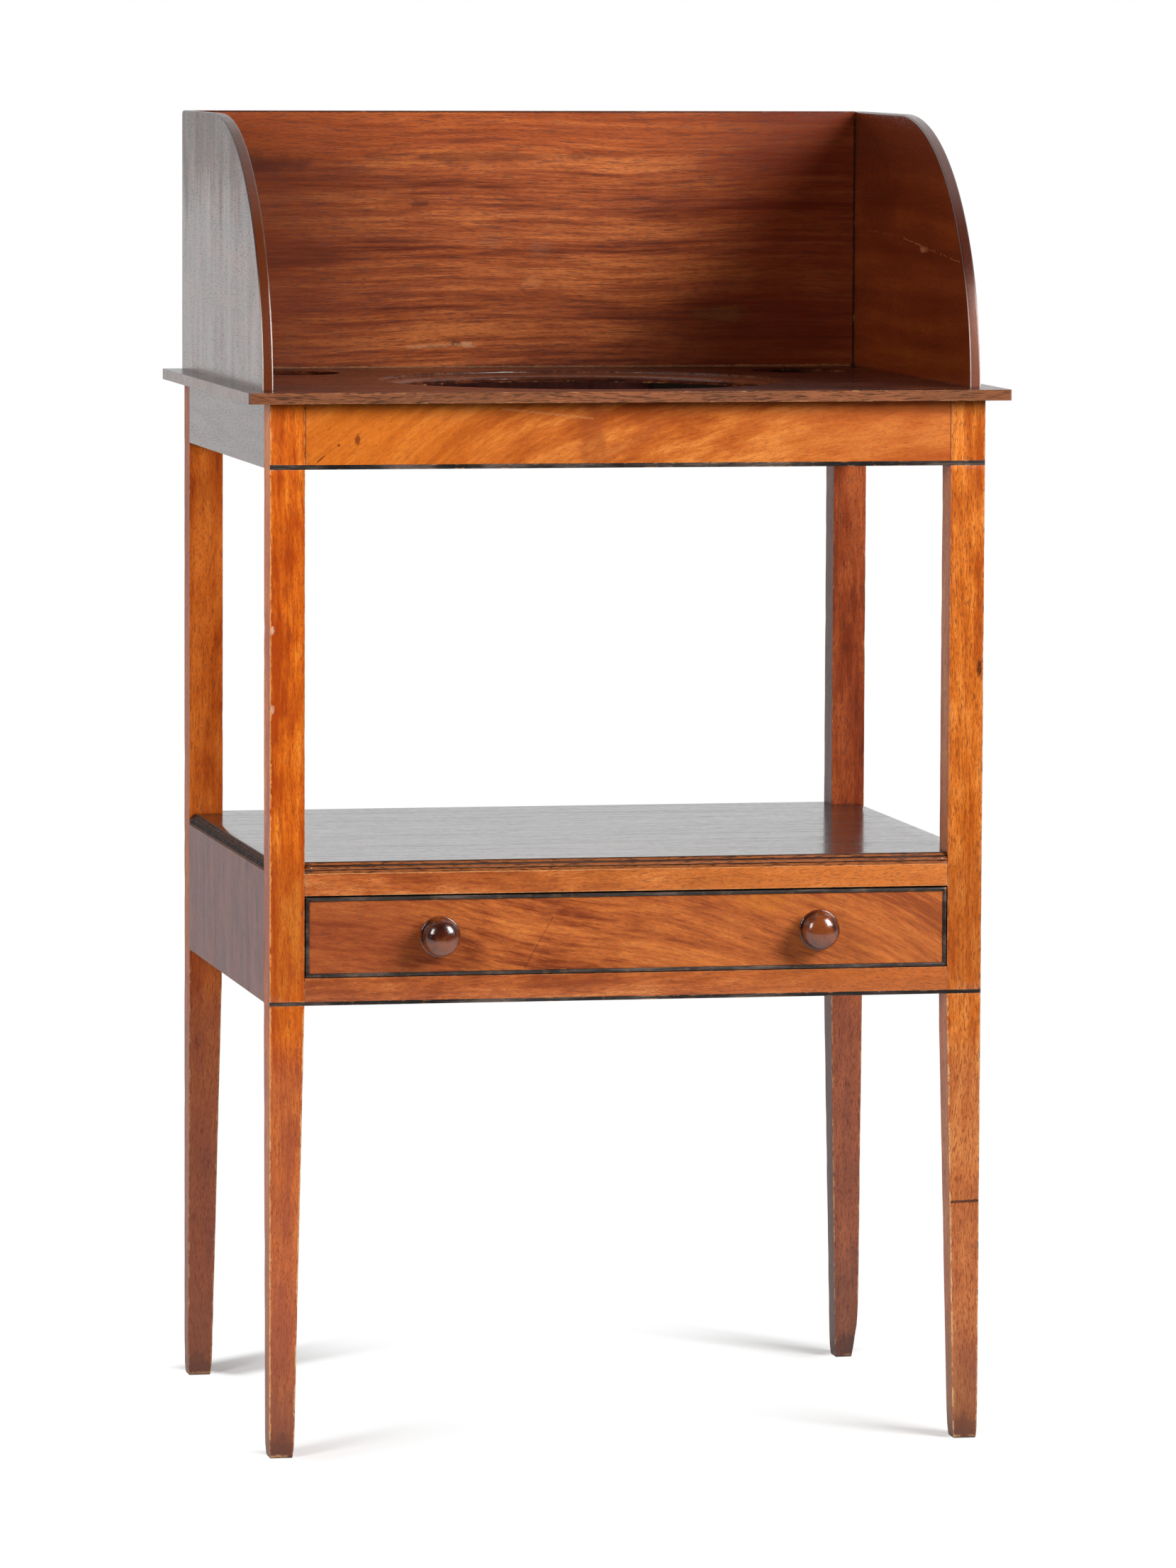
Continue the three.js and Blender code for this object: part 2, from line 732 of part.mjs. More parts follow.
function drawerFront() {
  const [w, far] = [drawerHalfWidth, drawerHalfWidth + overrun];
  const whole = block(-w, w, 0, drawerFrontThickness, 0, drawerFrontTop);
  const beadSeat = w - cockbeadWidth;
  const rebates = [
    block(-far, -beadSeat, -overrun, cockbeadDepth, -overrun, drawerHeight),
    block(beadSeat, far, -overrun, cockbeadDepth, -overrun, drawerHeight),
    block(-w, w, -overrun, cockbeadDepth, -overrun, cockbeadWidth),
  ];
  const grooveFace = drawerFrontThickness - drawerGroove;
  const [inner, rear] = [drawerBoxInner, drawerFrontThickness + overrun];
  const groove = block(-inner, inner, grooveFace, rear, drawerBottomLift, grooveTop);
  const knobHoles = sides.map(([, side]) => {
    const radius = knobShankRadius + joineryGap;
    const hole = new THREE.CylinderGeometry(radius, radius, drawerFrontThickness + 2 * overrun, knobSides);
    return solidOf(hole.translate(side * knobX, drawerFrontThickness / 2, drawerHeight / 2));
  });
  return cut(whole, [...socketCutters(frontTails()), ...rebates, groove, ...knobHoles]);
}

function drawerBack() {
  const w = drawerHalfWidth;
  const whole = block(-w, w, drawerBackFace, drawerLength, grooveTop, drawerBackTop);
  return cut(whole, [...socketCutters(backTails()), ...nails(joineryGap)]);
}

function drawerBottom() {
  const halfWidth = drawerBoxInner + drawerGroove - joineryGap;
  const y0 = drawerFrontThickness - drawerGroove + joineryGap;
  const board = block(-halfWidth, halfWidth, y0, drawerLength, bottomUnderside, bottomUpside);
  return cut(board, nails(joineryGap));
}

// Nails driven up through the bottom into the drawer's back, or with a gap, the holes for them.
const nailNames = ["left", "middle", "right"];

function nails(gap = 0) {
  const length = drawerBottomThickness + nailBite;
  const profile = [
    [0, -gap],
    [nailHeadRadius + gap, -gap],
    [nailHeadRadius + gap, nailHeadLength],
    [nailShankRadius + gap, nailHeadLength],
    [nailShankRadius + gap, length - nailShankRadius],
    [0, length + gap],
  ];
  const y = drawerBackFace + drawerBackThickness / 2;
  return nailNames.map((_, i) => turned(profile, fastenerSides, [(i - 1) * nailX, y, bottomUnderside]));
}

// Cockbeads stand half their width proud, with a round nose, and are mitred where they meet.
function cockbead(frontView, noseOutline, axis, from, to, backing = []) {
  const proud = cockbeadWidth / 2;
  const mitred = prism(frontView, along.y, -proud, cockbeadDepth);
  return joined([mitred, ...backing]).intersect(prism(noseOutline, axis, from, to));
}

// A strip of the bead's width with a half-round front, as (Y, across) points from its lower edge up.
function beadNose(across, depth) {
  const radius = cockbeadWidth / 2;
  const nose = quarterArc([0, across + radius], radius, radius, 3, 1, 2 * mouldingSteps);
  return [[depth, across], ...nose, [depth, across + cockbeadWidth]];
}

function cockbeads(group) {
  const [w, h, b] = [drawerHalfWidth, drawerHeight, cockbeadWidth];
  const lowerView = [
    [0, -w],
    [0, w],
    [b, w - b],
    [b, b - w],
  ];
  const upperView = lowerView.map(([z, x]) => [h - z, x]);
  const lower = cockbead(lowerView, beadNose(0, cockbeadDepth), along.x, -w, w);
  addPiece(group, "cockbead_lower", lower, finishes.ebony);
  const cap = block(-w, w, cockbeadDepth, drawerFrontThickness, h - b, h);
  const upper = cockbead(upperView, beadNose(h - b, drawerFrontThickness), along.x, -w, w, [cap]);
  addPiece(group, "cockbead_upper", upper, finishes.ebony);
  for (const [name, side] of sides) {
    const view = [
      [0, side * w],
      [b, side * (w - b)],
      [h - b, side * (w - b)],
      [h, side * w],
    ];
    const nose = swapped(beadNose(side > 0 ? w - b : -w, cockbeadDepth));
    addPiece(group, "cockbead_" + name, cockbead(view, nose, along.z, 0, h), finishes.ebony);
  }
}

// A turned knob: a waisted neck flares to a thin rim, and past a quirk stands a ball with a domed front.
// Its shank passes through the drawer's front.
function knobProfile() {
  const flareFoot = knobSeatLength + knobNeckLength;
  const rimMiddle = knobRimStart + knobRimWidth / 2;
  const ballMiddle = knobBallStart + knobBallBackLength;
  const rimEase = knobRimWidth / 2;
  const flareRadius = knobRimRadius - rimEase;
  const flareWidth = flareRadius - knobNeckRadius;
  const flareLength = knobRimStart - flareFoot;
  const ballSwell = knobBallRadius - knobBallBackRadius;
  return [
    [0, -drawerFrontThickness],
    [knobShankRadius, -drawerFrontThickness],
    [knobShankRadius, 0],
    [knobSeatRadius, 0],
    [knobSeatRadius, knobSeatLength],
    ...quarterArc([knobNeckRadius, knobRimStart], flareWidth, flareLength, 3, 4, mouldingSteps),
    ...quarterArc([flareRadius, rimMiddle], rimEase, rimEase, 3, 5, rimSteps).slice(1),
    [knobBallBackRadius, knobBallStart - knobQuirkWidth],
    ...quarterArc([knobBallBackRadius, ballMiddle], ballSwell, knobBallBackLength, 3, 4, mouldingSteps),
    ...quarterArc([0, ballMiddle], knobBallRadius, knobDomeLength, 0, 1, domeSteps).slice(1),
  ];
}

function knobs(group) {
  for (const [name, side] of sides) {
    const knob = addPiece(group, "knob_" + name, solidOf(latheOf(knobProfile(), knobSides)), finishes.knob);
    knob.rotation.x = Math.PI;
    knob.position.set(side * knobX, 0, drawerHeight / 2);
  }
}

function drawer(group) {
  addPiece(group, "drawer_front", drawerFront(), finishes.figured);
  for (const [name, side] of sides) {
    addPiece(group, "drawer_side_" + name, drawerSide(side), finishes.pine);
  }
  addPiece(group, "drawer_back", drawerBack(), finishes.pine);
  addPiece(group, "drawer_bottom", drawerBottom(), finishes.pine);
  nails().forEach((nail, i) => addPiece(group, "bottom_nail_" + nailNames[i], nail, finishes.iron));
  cockbeads(group);
  knobs(group);
}

// The whole stand

const standGroup = new THREE.Group();
frieze(standGroup);
drawerCase(standGroup);
legs(standGroup);
addPiece(standGroup, "shelf", shelf(), finishes.top);
addPiece(standGroup, "tabletop", cut(tabletop(), screwHolesOfTop()), finishes.top);
fixings(standGroup);

const galleryGroup = new THREE.Group();
galleryGroup.position.z = tableTop;
gallery(galleryGroup);

const drawerGroup = new THREE.Group();
drawerGroup.position.z = openingFloor + drawerFloorGap;
drawer(drawerGroup);

const washstand = new THREE.Group();
washstand.add(standGroup, galleryGroup, drawerGroup);
washstand.position.y = (knobProjection - standDepth) / 2;

export default washstand;
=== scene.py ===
# %% [markdown]
# # Dressing a washstand
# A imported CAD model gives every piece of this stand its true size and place. This lesson gives it the looks:
# arrises that two centuries have softened, French-polished mahogany, black stringing, turned knobs and a plain
# white studio. Each code cell follows a note that says what the real thing is and why it is made so.

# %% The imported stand
import json
import math

import bmesh
import bpy
from mathutils import Matrix, Vector, noise


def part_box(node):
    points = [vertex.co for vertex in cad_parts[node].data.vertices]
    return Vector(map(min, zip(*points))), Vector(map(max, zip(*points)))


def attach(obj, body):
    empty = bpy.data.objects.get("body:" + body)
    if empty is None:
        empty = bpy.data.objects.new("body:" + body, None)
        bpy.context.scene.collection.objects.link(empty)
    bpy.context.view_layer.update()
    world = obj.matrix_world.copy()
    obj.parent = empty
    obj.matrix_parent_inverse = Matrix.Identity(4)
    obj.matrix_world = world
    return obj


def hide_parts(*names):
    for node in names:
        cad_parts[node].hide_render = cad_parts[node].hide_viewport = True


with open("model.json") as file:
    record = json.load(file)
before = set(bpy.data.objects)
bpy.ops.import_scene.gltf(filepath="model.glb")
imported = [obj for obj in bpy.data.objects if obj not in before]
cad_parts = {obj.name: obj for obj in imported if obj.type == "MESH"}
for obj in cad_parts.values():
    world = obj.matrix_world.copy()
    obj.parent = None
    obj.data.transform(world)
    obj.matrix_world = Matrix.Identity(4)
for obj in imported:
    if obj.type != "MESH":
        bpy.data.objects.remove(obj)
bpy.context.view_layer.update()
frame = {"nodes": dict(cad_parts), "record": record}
MM = 0.001

# %% [markdown]
# The picture is taken from the left and a little above, from far away, so that upright edges stay almost
# parallel. The camera could be aimed by eye, but its place, three angles and long lens were fitted to the
# straight edges of the real stand, so that every piece falls where the photograph has it.


# %% Camera
def placed(name, data):
    """A new object, linked to the scene."""
    thing = bpy.data.objects.new(name, data)
    bpy.context.scene.collection.objects.link(thing)
    return thing


camera = placed("camera", bpy.data.cameras.new("camera"))
camera.data.lens = 197.1
camera.data.sensor_width = 36
camera.data.clip_end = 100
yaw, pitch, roll = (math.radians(angle) for angle in (11.467, 5.254, 0.241))
camera.matrix_world = (
    Matrix.Translation((-1.3386, -6.6407, 1.1216))
    @ Matrix.Rotation(-yaw, 4, "Z")
    @ Matrix.Rotation(math.pi / 2 - pitch, 4, "X")
    @ Matrix.Rotation(roll, 4, "Z")
)
bpy.context.scene.camera = camera
bpy.context.scene.view_settings.view_transform = "Standard"
print("camera", [round(value, 3) for value in camera.location], "lens", camera.data.lens)

# %% [markdown]
# A finish is a node tree, and so is the world. They could be clicked together in the shader editor, but this
# helper adds a node and returns its result in one line, so that the cells below read as recipes. All patterns
# on wood start from object coordinates, which are metres here.


# %% A helper that builds node trees
class Tree:
    def __init__(self, owner):
        owner.use_nodes = True
        self.tree = owner.node_tree

    def add(self, kind, inputs=None, **settings):
        node = self.tree.nodes.new("ShaderNode" + kind)
        for setting, value in settings.items():
            setattr(node, setting, value)
        for socket, value in (inputs or {}).items():
            self.feed(node.inputs[socket], value)
        return node

    def feed(self, socket, value):
        if isinstance(value, bpy.types.NodeSocket):
            self.tree.links.new(value, socket)
        else:
            socket.default_value = value

    def place(self):
        return self.add("TexCoord").outputs["Object"]

    def parts(self, vector):
        return self.add("SeparateXYZ", {0: vector}).outputs

    def math(self, operation, a, b=0.0, c=0.0):
        return self.add("Math", {0: a, 1: b, 2: c}, operation=operation).outputs[0]

    def vector(self, operation, a, b, result="Vector"):
        return self.add("VectorMath", {0: a, 1: b}, operation=operation).outputs[result]

    def noise(self, place, scale, detail, roughness=0.5):
        spread = self.vector("MULTIPLY", place, scale)
        sockets = {"Vector": spread, "Scale": 1.0, "Detail": detail, "Roughness": roughness}
        return self.add("TexNoise", sockets).outputs[0]

    def times(self, a, b):
        return self.math("MULTIPLY", a, b)

    def shaken(self, value, pattern, weight):
        """A value that a pattern moves both ways, as its middle is one half."""
        return self.math("MULTIPLY_ADD", self.math("SUBTRACT", pattern, 0.5), weight, value)

    def ramp(self, value, low, high, to_low=0.0, to_high=1.0):
        sockets = {"Value": value, "From Min": low, "From Max": high, "To Min": to_low, "To Max": to_high}
        return self.add("MapRange", sockets, interpolation_type="SMOOTHSTEP").outputs[0]

    def shades(self, value, stops):
        ramp = self.add("ValToRGB", {0: value})
        while len(ramp.color_ramp.elements) < len(stops):
            ramp.color_ramp.elements.new(0.5)
        for element, (position, colour) in zip(ramp.color_ramp.elements, stops):
            element.position, element.color = position, colour
        return ramp.outputs[0]

    def blend(self, amount, a, b, mode="MIX"):
        return self.add("Mix", {0: amount, 6: a, 7: b}, data_type="RGBA", blend_type=mode).outputs[2]


class Finish(Tree):
    def __init__(self, name):
        self.material = bpy.data.materials.new(name)
        super().__init__(self.material)
        self.surface = self.tree.nodes["Principled BSDF"].inputs

    def show(self, look, value):
        self.feed(self.surface[look], value)

    def lean(self, axis):
        """How far a face turns towards an axis, on either side."""
        normal = self.add("NewGeometry").outputs["Normal"]
        return self.math("ABSOLUTE", self.parts(normal)[axis])


def shade(red, green, blue):
    """A colour as a painter would match it on screen, turned into the linear light that nodes use."""
    steps = (channel / 255 for channel in (red, green, blue))
    return (*(s / 12.92 if s <= 0.04045 else ((s + 0.055) / 1.055) ** 2.4 for s in steps), 1.0)


print("helpers ready; mid mahogany is", [round(c, 3) for c in shade(190, 100, 48)])

# %% [markdown]
# Two soft boxes light the stand, at like angles to its front. The much stronger one is at the right, so the
# right gallery end throws a soft diagonal shadow on the back board and each knob throws one to the left. The
# knobs mirror both boxes, and the feet's two shadows show their directions. Point lamps would leave neither a
# soft edge nor a bright rectangle in the polish, so both are area lamps.

# %% Soft boxes
SOFT_BOXES = {  # place, aim, size, power and spread
    "key_box": ((1.45, -1.55, 1.75), (-0.5, 0, 0.6), (0.9, 1.3), 21, 100),
    "left_box": ((-1.45, -1.3, 1.3), (0, 0, 0.6), (0.45, 0.8), 15, 180),
}
for name, (at, aim, size, power, spread) in SOFT_BOXES.items():
    lamp = bpy.data.lights.new(name, "AREA")
    lamp.shape, lamp.energy = "RECTANGLE", power
    lamp.size, lamp.size_y = size
    lamp.spread = math.radians(spread)
    lamp_object = placed(name, lamp)
    lamp_object.location = at
    lamp_object.rotation_euler = (Vector(aim) - Vector(at)).to_track_quat("-Z", "Y").to_euler()
    lamp_object.visible_camera = False
    print(name, "at", at)

# %% [markdown]
# The world is what the polish mirrors: a white sweep behind the stand, and darkness behind the camera. A
# picture of a studio could do this, but two plain tones, blended along the depth, are enough. Only the polish
# meets them: the camera sees pure white, and dull surfaces get a little light all round.

# %% White surroundings
AMBIENT = 0.07
MIRRORED_ROOM, MIRRORED_SWEEP = 0.02, 0.95
world = bpy.data.worlds.new("studio")
bpy.context.scene.world = world
studio = Tree(world)
ray = studio.add("LightPath").outputs
depth = studio.parts(studio.add("TexCoord").outputs["Generated"])["Y"]
mirrored = studio.ramp(depth, -0.3, 0.3, MIRRORED_ROOM, MIRRORED_SWEEP)
lit = studio.add("Mix", {"Factor": ray["Is Glossy Ray"], "A": AMBIENT, "B": mirrored}).outputs[0]
seen = studio.math("MAXIMUM", ray["Is Camera Ray"], ray["Is Transmission Ray"])
strength = studio.add("Mix", {"Factor": seen, "A": lit, "B": 1.0}).outputs[0]
background = studio.tree.nodes["Background"].inputs
background["Color"].default_value = (1, 1, 1, 1)
studio.feed(background["Strength"], strength)
print("ambient light", AMBIENT)

# %% [markdown]
# The floor is a white sweep that ends a little way in front of the stand, and the dark studio begins there. A
# plain lit floor would turn grey away from the lamps. So the camera sees pure white, except in streaks that run
# from the feet as their shadows do, where the lit surface keeps the soft shadows. From below the floor is
# clear, so that the stand can be seen from there too.

# %% The floor's plane
floor_mesh = bpy.data.meshes.new("floor")
form = bmesh.new()
bmesh.ops.create_grid(form, x_segments=1, y_segments=1, size=40)
form.to_mesh(floor_mesh)
form.free()
floor = placed("floor", floor_mesh)
print("floor laid")

# %% Where the feet's shadows fall
FOOT_X, FOOT_Y = 0.27, (-0.2, 0.216)
STREAKS = {-1: ((0.76, 0.65), 1.0), 1: ((-0.58, 0.81), 0.8)}
STREAK_START, STREAK_LENGTH = 0.02, 0.24
STREAK_CORE, STREAK_WIDTH = 0.018, 0.045
sweep = Finish("white_sweep")
ground = sweep.place()
shadowed = 0.0
for side, ((run, rise), share) in STREAKS.items():
    for foot_y in FOOT_Y:
        from_foot = sweep.vector("SUBTRACT", ground, (side * FOOT_X, foot_y, 0))
        ahead = sweep.vector("DOT_PRODUCT", from_foot, (run, rise, 0), "Value")
        beside = sweep.math("ABSOLUTE", sweep.vector("DOT_PRODUCT", from_foot, (rise, -run, 0), "Value"))
        fade = sweep.ramp(ahead, STREAK_LENGTH, 0.0, 0.0, share)
        fade = sweep.times(fade, sweep.ramp(ahead, 0.0, STREAK_START))
        streak = sweep.times(fade, sweep.ramp(beside, STREAK_WIDTH, STREAK_CORE))
        shadowed = sweep.math("MAXIMUM", shadowed, streak)
print(len(STREAKS) * len(FOOT_Y), "streaks of shadow")

# %% The sweep's paper
DARK_BEFORE, WHITE_FROM = -1.9, -1.2
SEEN_WHITE, BOUNCED_WHITE = 0.95, 0.75
x, y, _ = sweep.parts(ground)
on_sweep = sweep.ramp(y, DARK_BEFORE, WHITE_FROM)
ray = sweep.add("LightPath").outputs
looked_at = sweep.math("MAXIMUM", ray["Is Camera Ray"], ray["Is Transmission Ray"])
steady = sweep.math("MAXIMUM", looked_at, ray["Is Glossy Ray"])
white_level = sweep.math("MAXIMUM", looked_at, sweep.times(on_sweep, SEEN_WHITE))
steady_white = sweep.add("Emission", {"Strength": white_level}).outputs[0]
bounce = sweep.math("MAXIMUM", looked_at, sweep.times(on_sweep, BOUNCED_WHITE))
paper = sweep.add("CombineXYZ", {0: bounce, 1: bounce, 2: bounce}).outputs[0]
lit_paper = sweep.add("BsdfDiffuse", {"Color": paper}).outputs[0]
lift = sweep.add("Emission", {"Strength": sweep.ramp(x, -0.1, 0.1, 0.22, 0.32)}).outputs[0]
bright_paper = sweep.add("AddShader", {0: lit_paper, 1: lift}).outputs[0]
watched = sweep.add("MixShader", {0: shadowed, 1: steady_white, 2: bright_paper}).outputs[0]
mixed = sweep.add("MixShader", {0: steady, 1: lit_paper, 2: watched}).outputs[0]
underside = sweep.add("NewGeometry").outputs["Backfacing"]
clear = sweep.add("BsdfTransparent").outputs[0]
one_sided = sweep.add("MixShader", {0: underside, 1: mixed, 2: clear}).outputs[0]
sweep.tree.links.new(one_sided, sweep.tree.nodes["Material Output"].inputs[0])
floor_mesh.materials.append(sweep.material)
print("the floor has", len(sweep.tree.nodes), "nodes")

# %% [markdown]
# Mahogany has three scales of marking: broad bands along the grain, fine streaks inside them, and pores, which
# are dark flecks a few millimetres long. Slow noise lets the grain wander, and in figured boards it rises or
# falls across the board, which the two numbers of `curve` say. Pictures of wood could be wrapped round the
# boards, but noise in three dimensions runs through each piece as grain does, and shows no seams.

# %% The marking of wood
GRAIN_ORDER = {"X": "XZY", "Y": "YZX", "Z": "ZXY"}


def grain_space(finish, place, along, wander, curve):
    """Coordinates whose first axis runs along the grain, and whose second follows its curve."""
    split = finish.parts(place)
    a, b, c = (split[letter] for letter in GRAIN_ORDER[along])
    straight = finish.add("CombineXYZ", {0: a, 1: b, 2: c}).outputs[0]
    sway = finish.math("SUBTRACT", finish.noise(straight, (3, 5, 5), 1.0), 0.5)
    drift = finish.times(sway, 8 * wander)
    if any(curve):
        bow = finish.math("MULTIPLY_ADD", a, curve[1], curve[0])
        drift = finish.math("SUBTRACT", drift, finish.times(a, bow))
    return finish.vector("ADD", straight, finish.add("CombineXYZ", {1: drift, 2: 0.0}).outputs[0])


def wood_tone(finish, grain, figure, streaks, mottle, run):
    """Bands, fine streaks and mottle summed to one tone, and the fine streaks alone, which are felt too."""
    bands = finish.noise(grain, (3, 42, 42), 3.0)
    fine = finish.noise(grain, (250 / run, 170, 170), 5.0, 0.8)
    clouds = finish.noise(grain, (24, 44, 44), 3.0, 0.55)
    tone = 0.5
    for pattern, weight in ((bands, 3.4 * figure), (fine, 3.0 * streaks), (clouds, 3.4 * mottle)):
        tone = finish.shaken(tone, pattern, weight)
    return tone, fine


def wood_pores(finish, grain, length, width):
    """Dark flecks and shorter dashes, sized in millimetres."""
    fleck = finish.noise(grain, (1000 / length, 1000 / width, 1000 / width), 1.0)
    dash = finish.noise(grain, (400 / length, 500 / width, 500 / width), 1.0)
    return finish.ramp(finish.math("MAXIMUM", fleck, finish.math("SUBTRACT", dash, 0.02)), 0.55, 0.66)


print("grain runs along", ", ".join(GRAIN_ORDER))

# %% [markdown]
# Hands and cloths rub the polish off sharp arrises in patches, and knocks there fill with dirt. The wear could
# be painted board by board, but a rounded normal differs from the true one only near an arris, so one
# comparison finds them all.

# %% Wear at the arrises
ARRIS_REACH = 1.8 * MM
WORN_WOOD = shade(222, 160, 104)
# A near-black for dirt in knocks and pores, and for the painted shade in corners.
GRIME_AND_SHADE = shade(30, 16, 10)


def worn_arrises(finish, place, colour, worn):
    """The colour with rubbed and knocked arrises, and how much each point is rubbed."""
    rounded = finish.add("Bevel", {"Radius": ARRIS_REACH}, samples=4).outputs[0]
    true = finish.add("NewGeometry").outputs["Normal"]
    arris = finish.ramp(finish.vector("DOT_PRODUCT", rounded, true, "Value"), 0.985, 0.90)
    rub = finish.ramp(finish.noise(place, (95, 95, 95), 3.0, 0.7), 0.66 - 0.3 * worn, 0.74 - 0.1 * worn)
    rubbed = finish.times(finish.times(arris, rub), min(1.0, worn * 1.5))
    colour = finish.blend(rubbed, colour, WORN_WOOD)
    knock = finish.ramp(finish.noise(place, (60, 60, 60), 4.0, 0.7), 0.60, 0.66, 0.0, worn)
    return finish.blend(finish.times(arris, knock), colour, GRIME_AND_SHADE), rubbed


print("arrises wear within", round(ARRIS_REACH / MM, 1), "mm")

# %% [markdown]
# Over its marking, a polished board has the marks of its age, then pores, worn arrises, and darker corners,
# where dirt gathers and where shade is painted in. Polish fills the surface, smears along the grain and is dull
# where it is rubbed. Where it never was, as inside the top's holes, the wood is bare. One recipe holds all
# this, and each board has its own tones, so that the boards match as those of one tree do.


# %% The recipe for polished wood
def polished_wood(name, along, tones, figure=0.4, streaks=0.5, mottle=0.3, run=16, pores=0.1, pore_mm=(3, 0.45),
                  curve=(0.0, 0.0), wander=0.004, sheen=0.24, smears=0.14, smear_scale=(7, 90, 90),
                  dull_sides=0.0, polish=0.5, worn=0.4, grime_and_shade=0.8, bare=None, marks=()):
    finish = Finish(name)
    place = finish.place()
    grain = grain_space(finish, place, along, wander, curve)
    tone, fine = wood_tone(finish, grain, figure, streaks, mottle, run)
    dark, mid, light = (shade(*colour) for colour in tones)
    colour = finish.shades(tone, [(0.14, dark), (0.5, mid), (0.86, light)])
    for mark in marks:
        colour = mark(finish, place, colour)
    pore = wood_pores(finish, grain, *pore_mm)
    colour = finish.blend(finish.times(pore, pores), colour, finish.blend(0.5, dark, GRIME_AND_SHADE))
    colour, rubbed = worn_arrises(finish, place, colour, worn)
    # Dirt and painted shade: within 5 mm of where surfaces meet, the colour darkens towards near-black.
    near = finish.add("AmbientOcclusion", {"Distance": 5 * MM}, samples=4).outputs["AO"]
    colour = finish.blend(finish.ramp(near, 0.75, 0.30, 0.0, grime_and_shade), colour, GRIME_AND_SHADE)
    finish.show("Base Color", colour)
    gloss = finish.shaken(sheen, finish.noise(grain, smear_scale, 3.0), smears)
    gloss = finish.math("MULTIPLY_ADD", pore, 0.10, gloss)
    gloss = finish.math("MULTIPLY_ADD", rubbed, 0.3, gloss)
    if dull_sides:
        gloss = finish.math("MULTIPLY_ADD", finish.ramp(finish.lean("X"), 0.6, 0.9), dull_sides, gloss)
    if isinstance(polish, tuple):
        axis, *span = polish
        polish = finish.ramp(finish.parts(place)[axis], *span)
    if bare:
        share = bare(finish, place)
        gloss = finish.math("MULTIPLY_ADD", share, 0.5, gloss)
        polish = finish.times(polish, finish.math("MULTIPLY_ADD", share, -0.85, 1.0))
    finish.show("Roughness", gloss)
    height = finish.math("MULTIPLY_ADD", fine, 0.3, finish.times(pore, -0.6))
    bump = finish.add("Bump", {"Strength": 0.3, "Distance": 0.06 * MM, "Height": height}).outputs[0]
    finish.show("Normal", bump)
    finish.show("IOR", 1.5)
    finish.show("Specular IOR Level", polish)
    return finish.material


print("the wood recipe is ready")

# %% [markdown]
# Age leaves marks at one place each. They could be painted on an image. Here a brush is a function that blends
# its tint over a colour by a few nodes, so that a mark is one line and can be moved by its numbers. A wash
# fades along an axis, and a blot is a soft and ragged ellipsoid.


# %% Washes and blots
def wash(axis, start, end, tint, amount):
    def paint(finish, place, colour):
        value = finish.parts(place)[axis]
        return finish.blend(finish.ramp(value, start, end, 0.0, amount), colour, shade(*tint))

    return paint


def blot(centre, reach, tint, amount, ragged=0.5, grain=60):
    def paint(finish, place, colour):
        offset = finish.vector("DIVIDE", finish.vector("SUBTRACT", place, centre), reach)
        away = finish.vector("LENGTH", offset, (0, 0, 0), "Value")
        away = finish.shaken(away, finish.noise(place, (grain, grain, grain), 4.0, 0.65), 3 * ragged)
        return finish.blend(finish.ramp(away, 1.0, 0.45, 0.0, amount), colour, shade(*tint))

    return paint


print("two brushes ready")

# %% [markdown]
# A scratch, a crack, a worn arris or a seam is long and thin. A stretched blot would be blunt at its ends, so a
# stroke measures how far each point is from a straight line. It can sway, and break off where it has gaps.


# %% Strokes
def stroke(start, end, width, tint, amount, ragged=0.4, sway=0.0, gaps=0.0):
    start, end = Vector(start), Vector(end)
    heading, length = (end - start).normalized(), (end - start).length

    def paint(finish, place, colour):
        if sway:
            push = finish.math("SUBTRACT", finish.noise(place, (70, 70, 70), 2.0), 0.5)
            push = finish.times(push, sway)
            push = finish.add("CombineXYZ", {0: push, 1: push, 2: push}).outputs[0]
            place = finish.vector("ADD", place, push)
        offset = finish.vector("SUBTRACT", place, start)
        run = finish.vector("DOT_PRODUCT", offset, heading, "Value")
        run = finish.math("MINIMUM", finish.math("MAXIMUM", run, 0.0), length)
        along = finish.vector("SCALE", heading, (0, 0, 0))
        finish.feed(along.node.inputs["Scale"], run)
        away = finish.vector("DISTANCE", offset, along, "Value")
        away = finish.shaken(away, finish.noise(place, (300, 300, 300), 2.0), 2 * ragged * width)
        share = finish.ramp(away, width, 0.4 * width, 0.0, amount)
        if gaps:
            patches = finish.noise(place, (75, 75, 75), 3.0, 0.6)
            share = finish.times(share, finish.ramp(patches, gaps - 0.03, gaps + 0.03))
        return finish.blend(share, colour, shade(*tint))

    return paint


print("strokes ready")

# %% [markdown]
# Some marks follow the way a face is turned, and no place could say that. `facing` tints the faces that lean
# along an axis, such as the top's thin edge, which it paints paler for the light it catches. `end_edge` paints
# the rounded edge of a gallery end, with painted highlights as thin lines on its two arrises and a lighter
# painted core in the lower part.


# %% Brushes for turned faces
def facing(axis, start, end, tint, amount, mode="MIX", beyond=None):
    """Paints faces by how far their normal leans along an axis, and only beyond a distance on it."""

    def paint(finish, place, colour):
        share = finish.ramp(finish.lean(axis), start, end, 0.0, amount)
        if beyond:
            far = finish.math("ABSOLUTE", finish.parts(place)[axis])
            share = finish.times(share, finish.math("GREATER_THAN", far, beyond))
        return finish.blend(share, colour, shade(*tint), mode)

    return paint


def end_edge(line, core, low_core, gleam):
    """A gallery end's rounded edge: a core and two arris lines, painted light as highlights in the lower part.
    """

    def paint(finish, place, colour):
        lean = finish.lean("X")
        low = finish.ramp(finish.parts(place)["Z"], 0.92, 0.86, 0.0, 0.95)
        arrises = finish.blend(low, shade(*line), shade(*gleam))
        middle = finish.blend(low, shade(*core), shade(*low_core))
        colour = finish.blend(finish.ramp(lean, 0.97, 0.88), colour, arrises)
        return finish.blend(finish.ramp(lean, 0.62, 0.35), colour, middle)

    return paint


print("brushes for faces ready")

